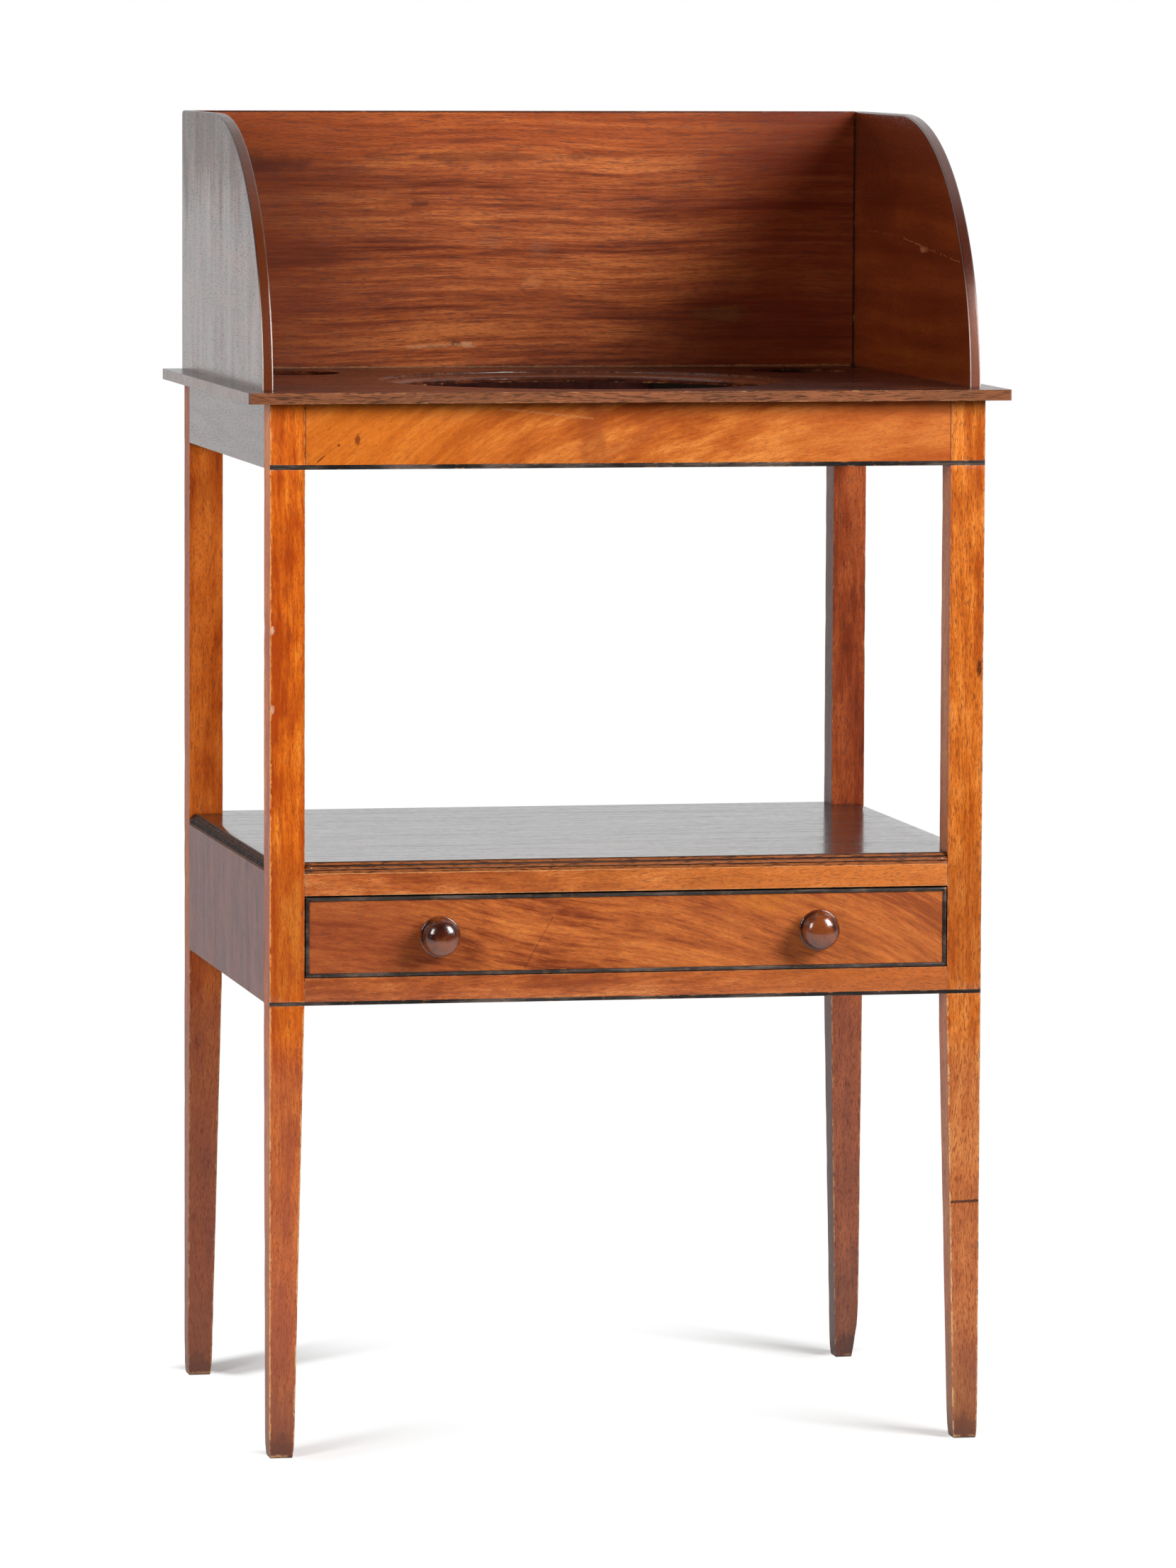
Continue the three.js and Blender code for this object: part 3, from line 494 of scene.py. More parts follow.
# %% [markdown]
# Marks are placed against the frame's own planes: its front, its outer sides, and the shoulders where rails
# meet the legs. They could be typed as numbers, but most are read from the pieces' boxes, so that they follow
# the stand when it changes.

# %% Measures of the frame
leg_low, leg_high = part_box("leg_front_left")
OUTER_X, FRONT_Y, BACK_Y = abs(leg_low.x), leg_low.y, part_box("leg_back_left")[1].y
LEG_TOP, LEG_FOOT, TAPER_TOP = 27.1 * MM, 19.3 * MM, 349.8 * MM
SHOULDER = OUTER_X - LEG_TOP
CASE_TOP, FRIEZE_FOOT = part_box("drawer_rail_upper")[1].z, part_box("frieze_front")[0].z
OPENING_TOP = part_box("drawer_rail_upper")[0].z
SHELF_X, SHELF_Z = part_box("shelf")[0].x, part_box("shelf")[1].z
BACK_BOARD_Y, END_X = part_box("gallery_back")[0].y, 273.5 * MM
print("front plane", round(FRONT_Y, 4), "shoulders at", round(SHOULDER, 4))

# %% [markdown]
# The legs are of one straight-grained mahogany, but each has its own tone. Below the case their front arrises
# are worn to bare wood in patches, and the feet are dirty. Just below the case the legs turn paler and greyer,
# partly dust and partly a painted reflection of the white floor. What legs share is a list or a function, and
# what only one has, such as a nick right across it, stands with that leg.

# %% Marks that legs share
BARE_WOOD = (240, 184, 126)
FOOT_DIRT_AND_SHEEN = [
    # Dust and painted reflection: the first wash turns the legs paler and greyer below the case, as the white
    # floor's sheen would. The other two washes are dirt on the feet.
    wash("Z", 0.34, 0.28, (178, 114, 84), 0.36),
    wash("Z", 0.12, 0.03, (88, 64, 50), 0.4),
    wash("Z", 0.035, 0.0, (40, 24, 18), 0.5),
]


def case_height(side, amount):
    """The legs are browner beside the drawer."""
    return blot((side * 0.28, FRONT_Y, 0.405), (0.06, 0.06, 0.085), (150, 62, 22), amount, 0.1, 30)


def worn_arris(side, tint, amount):
    """The outer front arris of a leg, rubbed pale along its height."""
    ends = [(side * OUTER_X, FRONT_Y, z) for z in (0.02, 0.81)]
    return stroke(*ends, 1.6 * MM, tint, amount, ragged=0.7, gaps=0.42)


def inner_edge(side, tint, amount):
    """The darker inner edge of an upper leg, where polish gathered."""
    return wash("X", side * (SHOULDER + 4.5 * MM), side * (SHOULDER + 0.3 * MM), tint, amount)


def leg_wear(side, y_foot, y_top, amount):
    """Bare patches on both front arrises below the case and on the foot's lower edge, and dirt above it."""
    inner_foot, inner_top, outer = (side * (OUTER_X - width) for width in (LEG_FOOT, LEG_TOP, 0.0))
    dirt_at = side * (OUTER_X - LEG_FOOT / 2), y_foot, 0.005
    lines = (
        ((inner_foot, y_foot, 0.0), (inner_top, y_top, TAPER_TOP), 1.5 * MM, 0.48),
        ((outer, y_foot, 0.0), (outer, y_top, TAPER_TOP), 1.5 * MM, 0.52),
        ((inner_foot, y_foot, 1 * MM), (outer, y_foot, 1 * MM), 2.4 * MM, 0.5),
    )
    return [
        blot(dirt_at, (0.014, 0.02, 0.014), (56, 36, 26), 0.4, 1.0, 110),
        *(stroke(*ends, width, BARE_WOOD, amount, ragged=0.8, gaps=gaps) for *ends, width, gaps in lines)]


FRONT_FACE = FRONT_Y, FRONT_Y
BACK_FACE = BACK_Y - LEG_FOOT, BACK_Y - LEG_TOP
print(len(FOOT_DIRT_AND_SHEEN), "washes of dirt on each foot")

# %% Mahogany of the legs
finishes = {}


def mahogany(key, *looks, **more):
    finishes[key] = polished_wood("mahogany_" + key, *looks, **more)


mahogany(
    "leg_front_left", "Z", ((182, 72, 14), (229, 113, 27), (252, 152, 54)), figure=0.45,
    pores=0.6, pore_mm=(3, 0.42), dull_sides=0.25, worn=0.8, marks=[
        *FOOT_DIRT_AND_SHEEN, case_height(-1, 0.42), inner_edge(-1, (176, 72, 20), 0.5),
        worn_arris(-1, (246, 164, 92), 0.85), *leg_wear(-1, *FRONT_FACE, 0.8),
        blot((-0.2781, FRONT_Y, 0.638), (0.002, 0.004, 0.004), (232, 190, 160), 0.8, 0.4, 300),
        blot((-0.2781, FRONT_Y, 0.578), (0.002, 0.004, 0.004), (228, 180, 150), 0.8, 0.4, 300)])
mahogany(
    "leg_front_right", "Z", ((182, 82, 20), (222, 120, 39), (248, 154, 72)), figure=0.35,
    streaks=0.6, pores=0.75, pore_mm=(3.5, 0.45), dull_sides=0.25, worn=0.7, marks=[
        *FOOT_DIRT_AND_SHEEN, case_height(1, 0.4), inner_edge(1, (180, 84, 34), 0.4),
        worn_arris(1, (232, 148, 86), 0.4), *leg_wear(1, *FRONT_FACE, 0.9),
        stroke((OUTER_X, FRONT_Y, 0.02), (OUTER_X, FRONT_Y, 0.75), 1.4 * MM, (60, 30, 20), 0.8, 0.8, gaps=0.57),
        blot((0.2768, FRONT_Y, 0.603), (0.0028, 0.004, 0.009), (60, 26, 14), 0.9, 0.5, 300),
        stroke((0.258, FRONT_Y, 0.1861), (0.281, FRONT_Y, 0.1869), 1.6 * MM, (50, 28, 20), 0.9, 0.6)])
mahogany(
    "leg_back_left", "Z", ((158, 56, 8), (203, 94, 26), (230, 122, 44)),
    streaks=0.45, pores=0.6, pore_mm=(3, 0.42), dull_sides=0.25, worn=0.5, marks=[
        # Painted light: below 0.26 m the back left leg turns paler towards the foot, where light reaches it
        # under the case.
        *FOOT_DIRT_AND_SHEEN, wash("Z", 0.26, 0.14, (178, 96, 62), 0.4), *leg_wear(-1, *BACK_FACE, 0.6)])
mahogany(
    "leg_back_right", "Z", ((116, 42, 18), (160, 71, 34), (194, 98, 50)),
    pores=0.65, pore_mm=(3, 0.42), dull_sides=0.25, worn=0.5, marks=[
        # Painted shade and sheen: the back right leg's side faces are darker and greyer, as a face in shade
        # that mirrors the white room.
        *FOOT_DIRT_AND_SHEEN, facing("X", 0.6, 0.9, (70, 44, 38), 0.7), *leg_wear(1, *BACK_FACE, 0.4)])
print(len(finishes), "finishes for the legs")

# %% [markdown]
# The frieze, the rails and the drawer's front are cut from figured boards, and `curve` bends the grain of two
# of them. The sides show little figure, and old polish has dripped down the left one from the shelf. A seam is
# the hairline of a glued joint. It could be left to the gap between two pieces, but dirt makes it wider.


# %% Mahogany of the case
def seams(low, high, tint, width, amount):
    """Hairlines on both sides of the stand, where a rail's shoulder meets a leg."""
    return [stroke((side * SHOULDER, FRONT_Y, low), (side * SHOULDER, FRONT_Y, high), width, tint, amount, 0.3)
            for side in (-1, 1)]


DRIP_TOP = 451.5 * MM
DRIPS = [
    stroke((-OUTER_X, y, DRIP_TOP), (-OUTER_X, y, DRIP_TOP - length * MM), 0.35 * MM, (34, 22, 18), 0.9, 0.5)
    for y, length in ((0.133, 4), (0.116, 9), (0.110, 5), (0.088, 4), (0.079, 5), (0.071, 6))]
mahogany(
    "frieze", "X", ((172, 80, 28), (206, 110, 43), (236, 144, 66)),
    mottle=0.35, run=9, pores=0.42, pore_mm=(2.2, 0.38), curve=(0.36, -0.75), wander=0.006,
    marks=[
        wash("X", -0.02, -0.22, (232, 124, 26), 0.5), wash("X", 0.06, 0.2, (196, 98, 44), 0.5),
        blot((-0.03, FRONT_Y, 0.786), (0.016, 0.01, 0.034), (150, 70, 34), 0.45, 0.6, 40),
        stroke((-0.019, FRONT_Y, 0.7686), (0.0196, FRONT_Y, 0.7901), 6 * MM, (158, 74, 36), 0.4, 0.6),
        stroke((-0.0995, FRONT_Y, 0.806), (-0.03, FRONT_Y, 0.7985), 1.2 * MM, (232, 160, 100), 0.3, 0.9),
        blot((-0.2124, FRONT_Y, 0.783), (0.0026, 0.004, 0.006), (120, 44, 16), 0.8, 0.4, 200),
        blot((-0.2269, FRONT_Y, 0.779), (0.0014, 0.004, 0.0014), (96, 36, 14), 0.9, 0.2, 200),
        stroke((-0.2433, FRONT_Y, 0.7663), (-0.2378, FRONT_Y, 0.7711), 0.8 * MM, (104, 40, 16), 0.8),
        *seams(0.765, 0.812, (80, 34, 20), 0.9 * MM, 0.85)])
mahogany(
    "rail", "X", ((156, 74, 34), (198, 105, 51), (232, 144, 80)), figure=0.45,
    streaks=0.55, run=10, pores=0.52, pore_mm=(2.4, 0.42), worn=0.9, marks=[
        stroke((-0.2, FRONT_Y, OPENING_TOP), (0.25, FRONT_Y, OPENING_TOP), 0.9 * MM,
               (236, 168, 108), 0.8, 0.6),
        stroke((-0.25, FRONT_Y, CASE_TOP), (0.25, FRONT_Y, CASE_TOP), 1.0 * MM, (240, 164, 100), 0.8, 0.5),
        wash("X", 0.0, 0.2, (226, 126, 58), 0.5),
        blot((0.15, FRONT_Y, 0.443), (0.3, 0.03, 0.03), (244, 148, 68), 0.3, 0.2, 40),
        *seams(0.352, 0.452, (84, 34, 16), 0.5 * MM, 0.9)])
mahogany(
    "drawer", "X", ((136, 60, 28), (192, 101, 48), (224, 130, 62)),
    streaks=0.7, mottle=0.2, run=12, pores=0.42, pore_mm=(2.6, 0.4), curve=(-0.3, -0.55), wander=0.008,
    marks=[
        wash("X", -0.10, -0.21, (150, 70, 40), 0.55), wash("X", -0.05, 0.1, (216, 122, 66), 0.25),
        stroke((-0.0814, FRONT_Y, 0.3757), (-0.0593, FRONT_Y, 0.4148), 0.35 * MM, (84, 40, 22), 0.75, 0.8),
        blot((0.106, FRONT_Y, 0.424), (0.030, 0.01, 0.012), (214, 124, 40), 0.35, 0.5, 40)])
mahogany(
    "side", "Z", ((94, 44, 36), (120, 60, 50), (142, 74, 62)), figure=0.15, streaks=0.3,
    mottle=0.5, sheen=0.44, worn=0.3, marks=DRIPS)
mahogany(
    "frieze_side", "Y", ((56, 22, 14), (78, 34, 22), (98, 48, 32)), figure=0.3,
    streaks=0.3, sheen=0.2, worn=0.3)
print(len(finishes), "finishes for the frame")

# %% [markdown]
# The gallery's back board has long straight grain, and stains where things stood against it. Its right part is
# painted darker, which deepens the shadow that the right end casts on it. One finish could serve all three
# boards, but the ends are seen at an angle, the left one in shade and the right one in light that shows a fine
# crack, so each has its own.

# %% Mahogany of the gallery
DULL_FROM, DULL_TO, DULLNESS = 0.985, 1.045, 0.22


def at_the_top(finish, place):
    """Streaks from the top of the left end downwards, where its polish is dull."""
    run = finish.noise(place, (1, 150, 9), 3.0, 0.6)
    height = finish.math("MULTIPLY_ADD", run, 0.10, finish.parts(place)["Z"])
    return finish.ramp(height, DULL_FROM, DULL_TO, 0.0, DULLNESS)


def back_blot(x, z, wide, tall, *looks):
    """A blot on the back board."""
    return blot((x, BACK_BOARD_Y, z), (wide, 0.01, tall), *looks)


def back_line(x_from, z_from, x_to, z_to, *looks):
    """A stroke on the back board."""
    return stroke((x_from, BACK_BOARD_Y, z_from), (x_to, BACK_BOARD_Y, z_to), *looks)


RIGHT_END_LINES = [
    # The first line runs up the joint with the back board: dust in the joint, with a painted highlight along
    # it.
    back_line(END_X, 0.822, END_X, 0.96, 0.6 * MM, (150, 128, 112), 0.7, 0.8),
    stroke((END_X, 0.1817, 0.9323), (END_X, 0.05, 0.929), 0.5 * MM, (176, 104, 66), 0.55, 0.8, 0.006),
    stroke((END_X, 0.05, 0.929), (END_X, -0.1404, 0.9153), 0.7 * MM, (196, 122, 80), 0.85, 0.6, 0.006),
    blot((END_X, -0.022, 0.9217), (0.006, 0.016, 0.0035), (206, 128, 84), 0.95, 0.5, 120)]
mahogany(
    "gallery", "X", ((108, 42, 17), (172, 84, 40), (216, 122, 62)), figure=0.3,
    streaks=0.7, mottle=0.1, run=34, pores=0.6, pore_mm=(6, 0.42), sheen=0.3, marks=[
        wash("X", -0.06, -0.23, (106, 42, 20), 0.75), wash("Z", 0.975, 1.01, (206, 98, 40), 0.3),
        back_line(-0.27, 1.0268, 0.27, 1.0268, 1.1 * MM, (40, 18, 12), 0.85),
        back_blot(-0.225, 0.985, 0.05, 0.012, (70, 28, 20), 0.6, 0.5, 40),
        back_blot(-0.04, 0.99, 0.11, 0.006, (96, 42, 24), 0.5, 0.7, 40),
        # Painted shade: this blot and the wash below it darken the board's right part, deepening the right
        # end's shadow.
        back_blot(0.17, 0.85, 0.11, 0.06, (92, 30, 12), 0.5, 0.3, 20),
        wash("X", 0.08, 0.22, (108, 28, 4), 0.75),
        back_blot(0.0122, 0.9162, 0.012, 0.010, (146, 92, 68), 0.4, 0.9, 140),
        back_blot(-0.0313, 0.922, 0.011, 0.009, (150, 96, 70), 0.3, 0.9, 140),
        back_blot(0.0046, 0.8886, 0.012, 0.006, (214, 128, 76), 0.55, 0.6, 160),
        back_blot(-0.0898, 0.9519, 0.012, 0.003, (70, 34, 24), 0.6, 0.8, 200),
        back_line(-0.098, 0.836, -0.046, 0.8388, 1.8 * MM, (206, 146, 104), 0.6, 0.9),
        back_blot(-0.058, 0.8395, 0.006, 0.003, (56, 28, 18), 0.7, 0.7, 200),
        back_blot(-0.05, 0.8385, 0.010, 0.003, (222, 158, 112), 0.8, 0.7, 200),
        back_blot(0.1635, 0.8621, 0.03, 0.008, (128, 84, 40), 0.4, 0.6, 80),
        back_line(END_X, 0.82, END_X, 1.02, 2.2 * MM, (30, 13, 8), 0.85, 0.6),
        back_line(-0.27, 0.8197, 0.27, 0.8197, 1.3 * MM, (190, 130, 84), 0.7, 0.8)])
mahogany(
    "gallery_left", "Y", ((60, 26, 16), (90, 42, 26), (124, 66, 42)), figure=0.3,
    streaks=0.3, mottle=0.4, sheen=0.19, smears=0.26, smear_scale=(45, 12, 1), worn=0.5,
    polish=("Z", 0.83, 1.0, 0.6, 0.42), bare=at_the_top, marks=[
        # Painted highlights: the last colour is the white of the arris lines in the lower part.
        end_edge((40, 18, 10), (98, 44, 18), (106, 50, 26), (250, 236, 226)),
        wash("Z", 0.95, 1.02, (70, 36, 26), 0.6)])
mahogany(
    "gallery_right", "Y", ((112, 40, 10), (138, 55, 15), (164, 78, 24)),
    streaks=0.15, mottle=0.1, run=60, pores=0.3, pore_mm=(6, 0.5), sheen=0.18, polish=0.7, marks=[
        # Painted highlights: lower down, the core's lighter colour and the arris lines' white stand for the
        # light they catch.
        end_edge((30, 12, 8), (74, 32, 20), (136, 82, 64), (250, 232, 224)),
        wash("Z", 0.95, 1.01, (84, 34, 18), 0.7),
        blot((END_X, 0.13, 0.955), (0.02, 0.09, 0.035), (96, 36, 14), 0.5, 0.4, 30), *RIGHT_END_LINES])
print("the gallery is stained")

# %% [markdown]
# The top and the shelf are dark red and polished, so most of what they show is the white room. Their edges face
# the lamps, and are painted paler for the light that they catch. Masks say where polish is missing or rubbed:
# the walls of the top's holes, the turned seat of the basin, and the shelf's left moulding, which is covered
# with old drips.

# %% Mahogany of the top and the shelf
BASIN = ((0, -0.0125), 149.3 * MM)
BEAKERS = [((x, 0.1345), 40.5 * MM) for x in (-0.21, 0.21)]
RING_INSIDE, RING_OUTSIDE = (149 * MM, 151 * MM), (161.5 * MM, 160 * MM)
LEFT_MOULDING = SHELF_X + 7 * MM, SHELF_X + 5 * MM


def from_axis(finish, place, centre):
    split = finish.parts(finish.vector("SUBTRACT", place, (*centre, 0)))
    level = finish.add("CombineXYZ", {0: split[0], 1: split[1]}).outputs[0]
    return finish.vector("LENGTH", level, (0, 0, 0), "Value")


def in_holes(finish, place):
    """One on the walls of the top's three holes."""
    share = 0.0
    for centre, radius in (BASIN, *BEAKERS):
        inside = finish.math("LESS_THAN", from_axis(finish, place, centre), radius + 0.2 * MM)
        share = finish.math("MAXIMUM", share, inside)
    return share


def basin_seat(finish, place, colour):
    """A mark: the turned ring round the basin's hole, rubbed brown."""
    away = from_axis(finish, place, BASIN[0])
    share = finish.times(finish.ramp(away, *RING_OUTSIDE, 0.0, 0.75), finish.ramp(away, *RING_INSIDE))
    return finish.blend(share, colour, shade(118, 62, 38))


def on_left_moulding(finish, place):
    """One on the shelf's left moulding, which has lost its polish."""
    return finish.ramp(finish.parts(place)["X"], *LEFT_MOULDING)


mahogany(
    "top", "X", ((30, 10, 5), (72, 30, 15), (118, 60, 34)), streaks=0.6,
    mottle=0.4, run=30, pores=0.7, pore_mm=(7, 0.5), sheen=0.22, polish=0.46, worn=0.45, bare=in_holes,
    marks=[
        basin_seat,
        # Painted light: the top's front and end edges are painted paler, as lit by the lamps.
        facing("Y", 0.4, 0.8, (128, 82, 56), 1.0, "SCREEN", 0.2),
        facing("X", 0.4, 0.8, (96, 60, 44), 1.0, "SCREEN", 0.29)])
mahogany(
    "shelf", "X", ((32, 20, 17), (50, 33, 29), (78, 52, 45)), streaks=0.6, mottle=0.2,
    run=70, pores=0.8, pore_mm=(7, 0.6), sheen=0.14, smears=0.26, smear_scale=(5, 200, 200), polish=0.53,
    worn=0.3, bare=on_left_moulding, marks=[
        # Painted light: the shelf's edges are painted paler, as lit by the lamps.
        facing("Z", 0.8, 0.4, (162, 91, 45), 1.0, "SCREEN"),
        wash("X", *LEFT_MOULDING, (110, 84, 76), 0.8),
        # Painted shade with dark chips: ragged dark lines along the moulding's step on top and under its nose.
        stroke((SHELF_X + 1.5 * MM, -0.17, SHELF_Z), (SHELF_X + 1.5 * MM, 0.19, SHELF_Z), 2.6 * MM,
               (24, 16, 13), 0.95, 0.9, 0.003),
        stroke((SHELF_X, -0.17, 0.4556), (SHELF_X, 0.19, 0.4556), 2.2 * MM, (20, 14, 12), 1.0, 1.2)])
print(len(finishes), "mahogany finishes")

# %% [markdown]
# What isn't meant to be seen is pine: clean in the drawer, and under the top painted dark, for the shade that
# falls there. The strings and the bead round the drawer are stained black. The knobs are turned from dark wood
# and polished most of all. Screws and nails are iron. One noise drives its colour, roughness and metal alike,
# so that its rust lies in patches.

# %% Linings, black lines, knobs and iron
PINE = ((112, 74, 42), (158, 112, 66), (190, 144, 92))
# Painted shade: the blocks under the top take the darker pine, for the shade inside the stand.
SHADED_PINE = ((50, 32, 20), (78, 50, 30), (104, 70, 42))
for name, along, tones in (("lining", "Y", PINE), ("lining_across", "X", PINE), ("old_pine", "X", SHADED_PINE)):
    finishes[name] = polished_wood("pine_" + name, along, tones, figure=0.8, streaks=0.4, mottle=0.1, run=60,
                                   pores=0.15, sheen=0.6, polish=0.3, worn=0.2, grime_and_shade=0.6)
finishes["black"] = polished_wood(
    "ebonised_line", "X", ((22, 18, 16), (52, 44, 40), (98, 84, 76)), figure=0.3, streaks=0.8,
    mottle=0.5, pores=0.3, sheen=0.34, worn=0.5, grime_and_shade=0.3)
finishes["knob"] = polished_wood(
    "turned_knob", "Y", ((46, 18, 10), (80, 34, 19), (146, 72, 32)), figure=0.3, streaks=0.3,
    mottle=0.7, pores=0.4, sheen=0.12, polish=0.9, worn=0.0, grime_and_shade=0.3)
iron = Finish("wrought_iron")
rust = iron.noise(iron.place(), (600, 600, 600), 4.0)
iron_tones = iron.shades(rust, [(0.35, shade(38, 34, 33)), (0.7, shade(98, 60, 42))])
iron.show("Base Color", iron_tones)
iron.show("Roughness", iron.ramp(rust, 0.3, 0.7, 0.45, 0.85))
iron.show("Metallic", iron.ramp(rust, 0.4, 0.65, 0.9, 0.1))
finishes["iron"] = iron.material
print(len(finishes), "finishes in all")

# %% [markdown]
# A CAD node's mesh is loose triangles, so a copy of it is merged first and its flat triangles are joined into
# whole faces. A bevel modifier would round every arris, in the joints too. So the arrises that show are picked
# by the planes that meet in them, and rounded as wear has rounded them. The copy then stands for the node.

# %% Helpers for worn pieces
BODY_OF = {node: body for body, nodes in frame["record"]["behaviour"]["bodies"].items() for node in nodes}
NEAR = 0.05 * MM
SHARP, SMOOTH_BELOW = math.radians(30), math.radians(36)


def merged_copy(node):
    form = bmesh.new()
    form.from_mesh(frame["nodes"][node].data)
    bmesh.ops.remove_doubles(form, verts=form.verts, dist=NEAR / 10)
    bmesh.ops.dissolve_limit(form, angle_limit=math.radians(0.5), verts=form.verts, edges=form.edges)
    return form


def cut_every(form, axis, start, end, step):
    """Cuts across the piece at an even pitch, so that its arrises have points to move."""
    normal = Vector([float(i == axis) for i in range(3)])
    for i in range(1, int((end - start) / step)):
        everything = [*form.verts, *form.edges, *form.faces]
        bmesh.ops.bisect_plane(form, geom=everything, plane_co=normal * (start + i * step), plane_no=normal)


def edges_on(form, *planes):
    """Sharp edges that lie on all of the planes of one entry, such as {"y": front, "z": top}."""

    def lies_on(edge, entry):
        return all(abs(getattr(v.co, axis) - at) < NEAR for v in edge.verts for axis, at in entry.items())

    sharp = [edge for edge in form.edges if len(edge.link_faces) == 2 and edge.calc_face_angle() > SHARP]
    return [edge for edge in sharp if any(lies_on(edge, entry) for entry in planes)]


def round_off(form, edges, width, segments=3):
    if edges:
        bmesh.ops.bevel(form, geom=edges, offset=width, offset_type="OFFSET", segments=segments, profile=0.5,
                        affect="EDGES", clamp_overlap=True, material=-1)


def finish_piece(form, node, finish, made="worn"):
    """Makes the object, rides it on its node's body and lets it stand for the node."""
    mesh = bpy.data.meshes.new(f"{node}_{made}")
    form.to_mesh(mesh)
    form.free()
    mesh.shade_smooth()
    mesh.set_sharp_from_angle(angle=SMOOTH_BELOW)
    mesh.materials.append(finishes[finish])
    piece = placed(f"{node}_{made}", mesh)
    piece.modifiers.new("weighted", "WEIGHTED_NORMAL").keep_sharp = True
    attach(piece, BODY_OF[node])
    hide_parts(node)


# %% [markdown]
# A leg is square and plumb outside, and tapers on its two inner faces below the drawer's case. Its arrises are
# cut into short lengths before they are rounded, and the points on them move inwards a little by noise. Uncut
# edges would look like a machine's, but light breaks along these as it does on worn wood. The feet are blunted
# more, and one of them, at the back right, has lost its outer corner.

# %% Legs
SIDES = {"left": -1, "right": 1}
ARRIS, ARRIS_WEAR, WEAR_PITCH = 0.7 * MM, 0.45 * MM, 9 * MM
BLUNT_BELOW, BLUNT_DEPTH = 14 * MM, 1.3 * MM
BREAK_BELOW, BREAK_DEPTH = 40 * MM, 5 * MM


def leg_width(z):
    return LEG_FOOT + (LEG_TOP - LEG_FOOT) * min(max(z, 0) / TAPER_TOP, 1)


def leg(node, side, outer_y, inward):
    form = merged_copy(node)
    cut_every(form, 2, 0, leg_high.z, WEAR_PITCH)

    def from_outside(v):
        return abs(side * OUTER_X - v.co.x), abs(outer_y - v.co.y)

    def corner(v):
        """Which corner line of the leg a point is on, as a pair of outer or inner, or nothing."""
        spots = []
        for distance in from_outside(v):
            if distance < NEAR:
                spots.append("outer")
            elif abs(distance - leg_width(v.co.z)) < NEAR:
                spots.append("inner")
        return tuple(spots) if len(spots) == 2 else None

    def shows(edge):
        """Arrises run along the leg, and the inner ones are hidden where rails meet it."""
        one, other = edge.verts
        where = corner(one)
        if not where or where != corner(other) or abs(one.co.z - other.co.z) < NEAR:
            return False
        z = (one.co.z + other.co.z) / 2
        return where == ("outer", "outer") or not (TAPER_TOP < z < CASE_TOP or z > FRIEZE_FOOT)

    round_off(form, [edge for edge in form.edges if shows(edge)], ARRIS)
    for v in form.verts:
        dx, dy = from_outside(v)
        width = leg_width(v.co.z)
        at_arris = min(dx, width - dx) < ARRIS * 1.2 and min(dy, width - dy) < ARRIS * 1.2
        if at_arris and v.co.z < FRIEZE_FOOT - ARRIS:
            bite = max(0.0, noise.noise(v.co * 55) + 0.35 * noise.noise(v.co * 210)) * ARRIS_WEAR
            foot = max(0.0, 1 - v.co.z / BLUNT_BELOW) ** 2 * BLUNT_DEPTH
            middle = Vector((side * (OUTER_X - width / 2), outer_y + inward * width / 2, v.co.z))
            v.co += (middle - v.co).normalized() * (bite + foot)
    return form


def broken_corner(form):
    """Pares the outer side of the back right foot away, deepest at the floor."""
    for v in form.verts:
        if v.co.z < BREAK_BELOW and v.co.x > OUTER_X - 8 * MM:
            depth = BREAK_DEPTH * (1 - v.co.z / BREAK_BELOW) ** 1.3 + noise.noise(v.co * 120) * 0.4 * MM
            v.co.x = min(v.co.x, OUTER_X - max(0.0, depth))


for side_name, side in SIDES.items():
    for end, outer_y, inward in (("front", FRONT_Y, 1), ("back", BACK_Y, -1)):
        node = f"leg_{end}_{side_name}"
        form = leg(node, side, outer_y, inward)
        if node == "leg_back_right":
            broken_corner(form)
        print(node, len(form.verts), "points")
        finish_piece(form, node, node)

# %% [markdown]
# Rails, friezes and the case's sides are flat boards with tenons. Only their long outer arrises show, and the
# line where a board's shoulder meets a leg. A dark line could be painted there alone, but a hair's breadth of
# bevel gives the paint a real groove to lie in.

# %% Boards of the frame
SHOULDER_Y = (FRONT_Y + LEG_TOP, BACK_Y - LEG_TOP)
HAIRLINE = 0.25 * MM


def board(node, finish, long_edges, joints=(), width=0.5 * MM, grain=0):
    low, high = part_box(node)
    form = merged_copy(node)
    cut_every(form, grain, low[grain], high[grain], 14 * MM)
    round_off(form, edges_on(form, *long_edges), width)
    round_off(form, edges_on(form, *joints), HAIRLINE, 1)
    finish_piece(form, node, finish)


for node, finish in (("frieze_front", "frieze"), ("drawer_rail_upper", "rail"), ("drawer_rail_lower", "rail")):
    low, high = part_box(node)
    lines = [{"y": low.y, "z": low.z}, {"y": low.y, "z": high.z}]
    joints = [{"y": low.y, "x": side * SHOULDER} for side in (-1, 1)]
    board(node, finish, lines, joints)
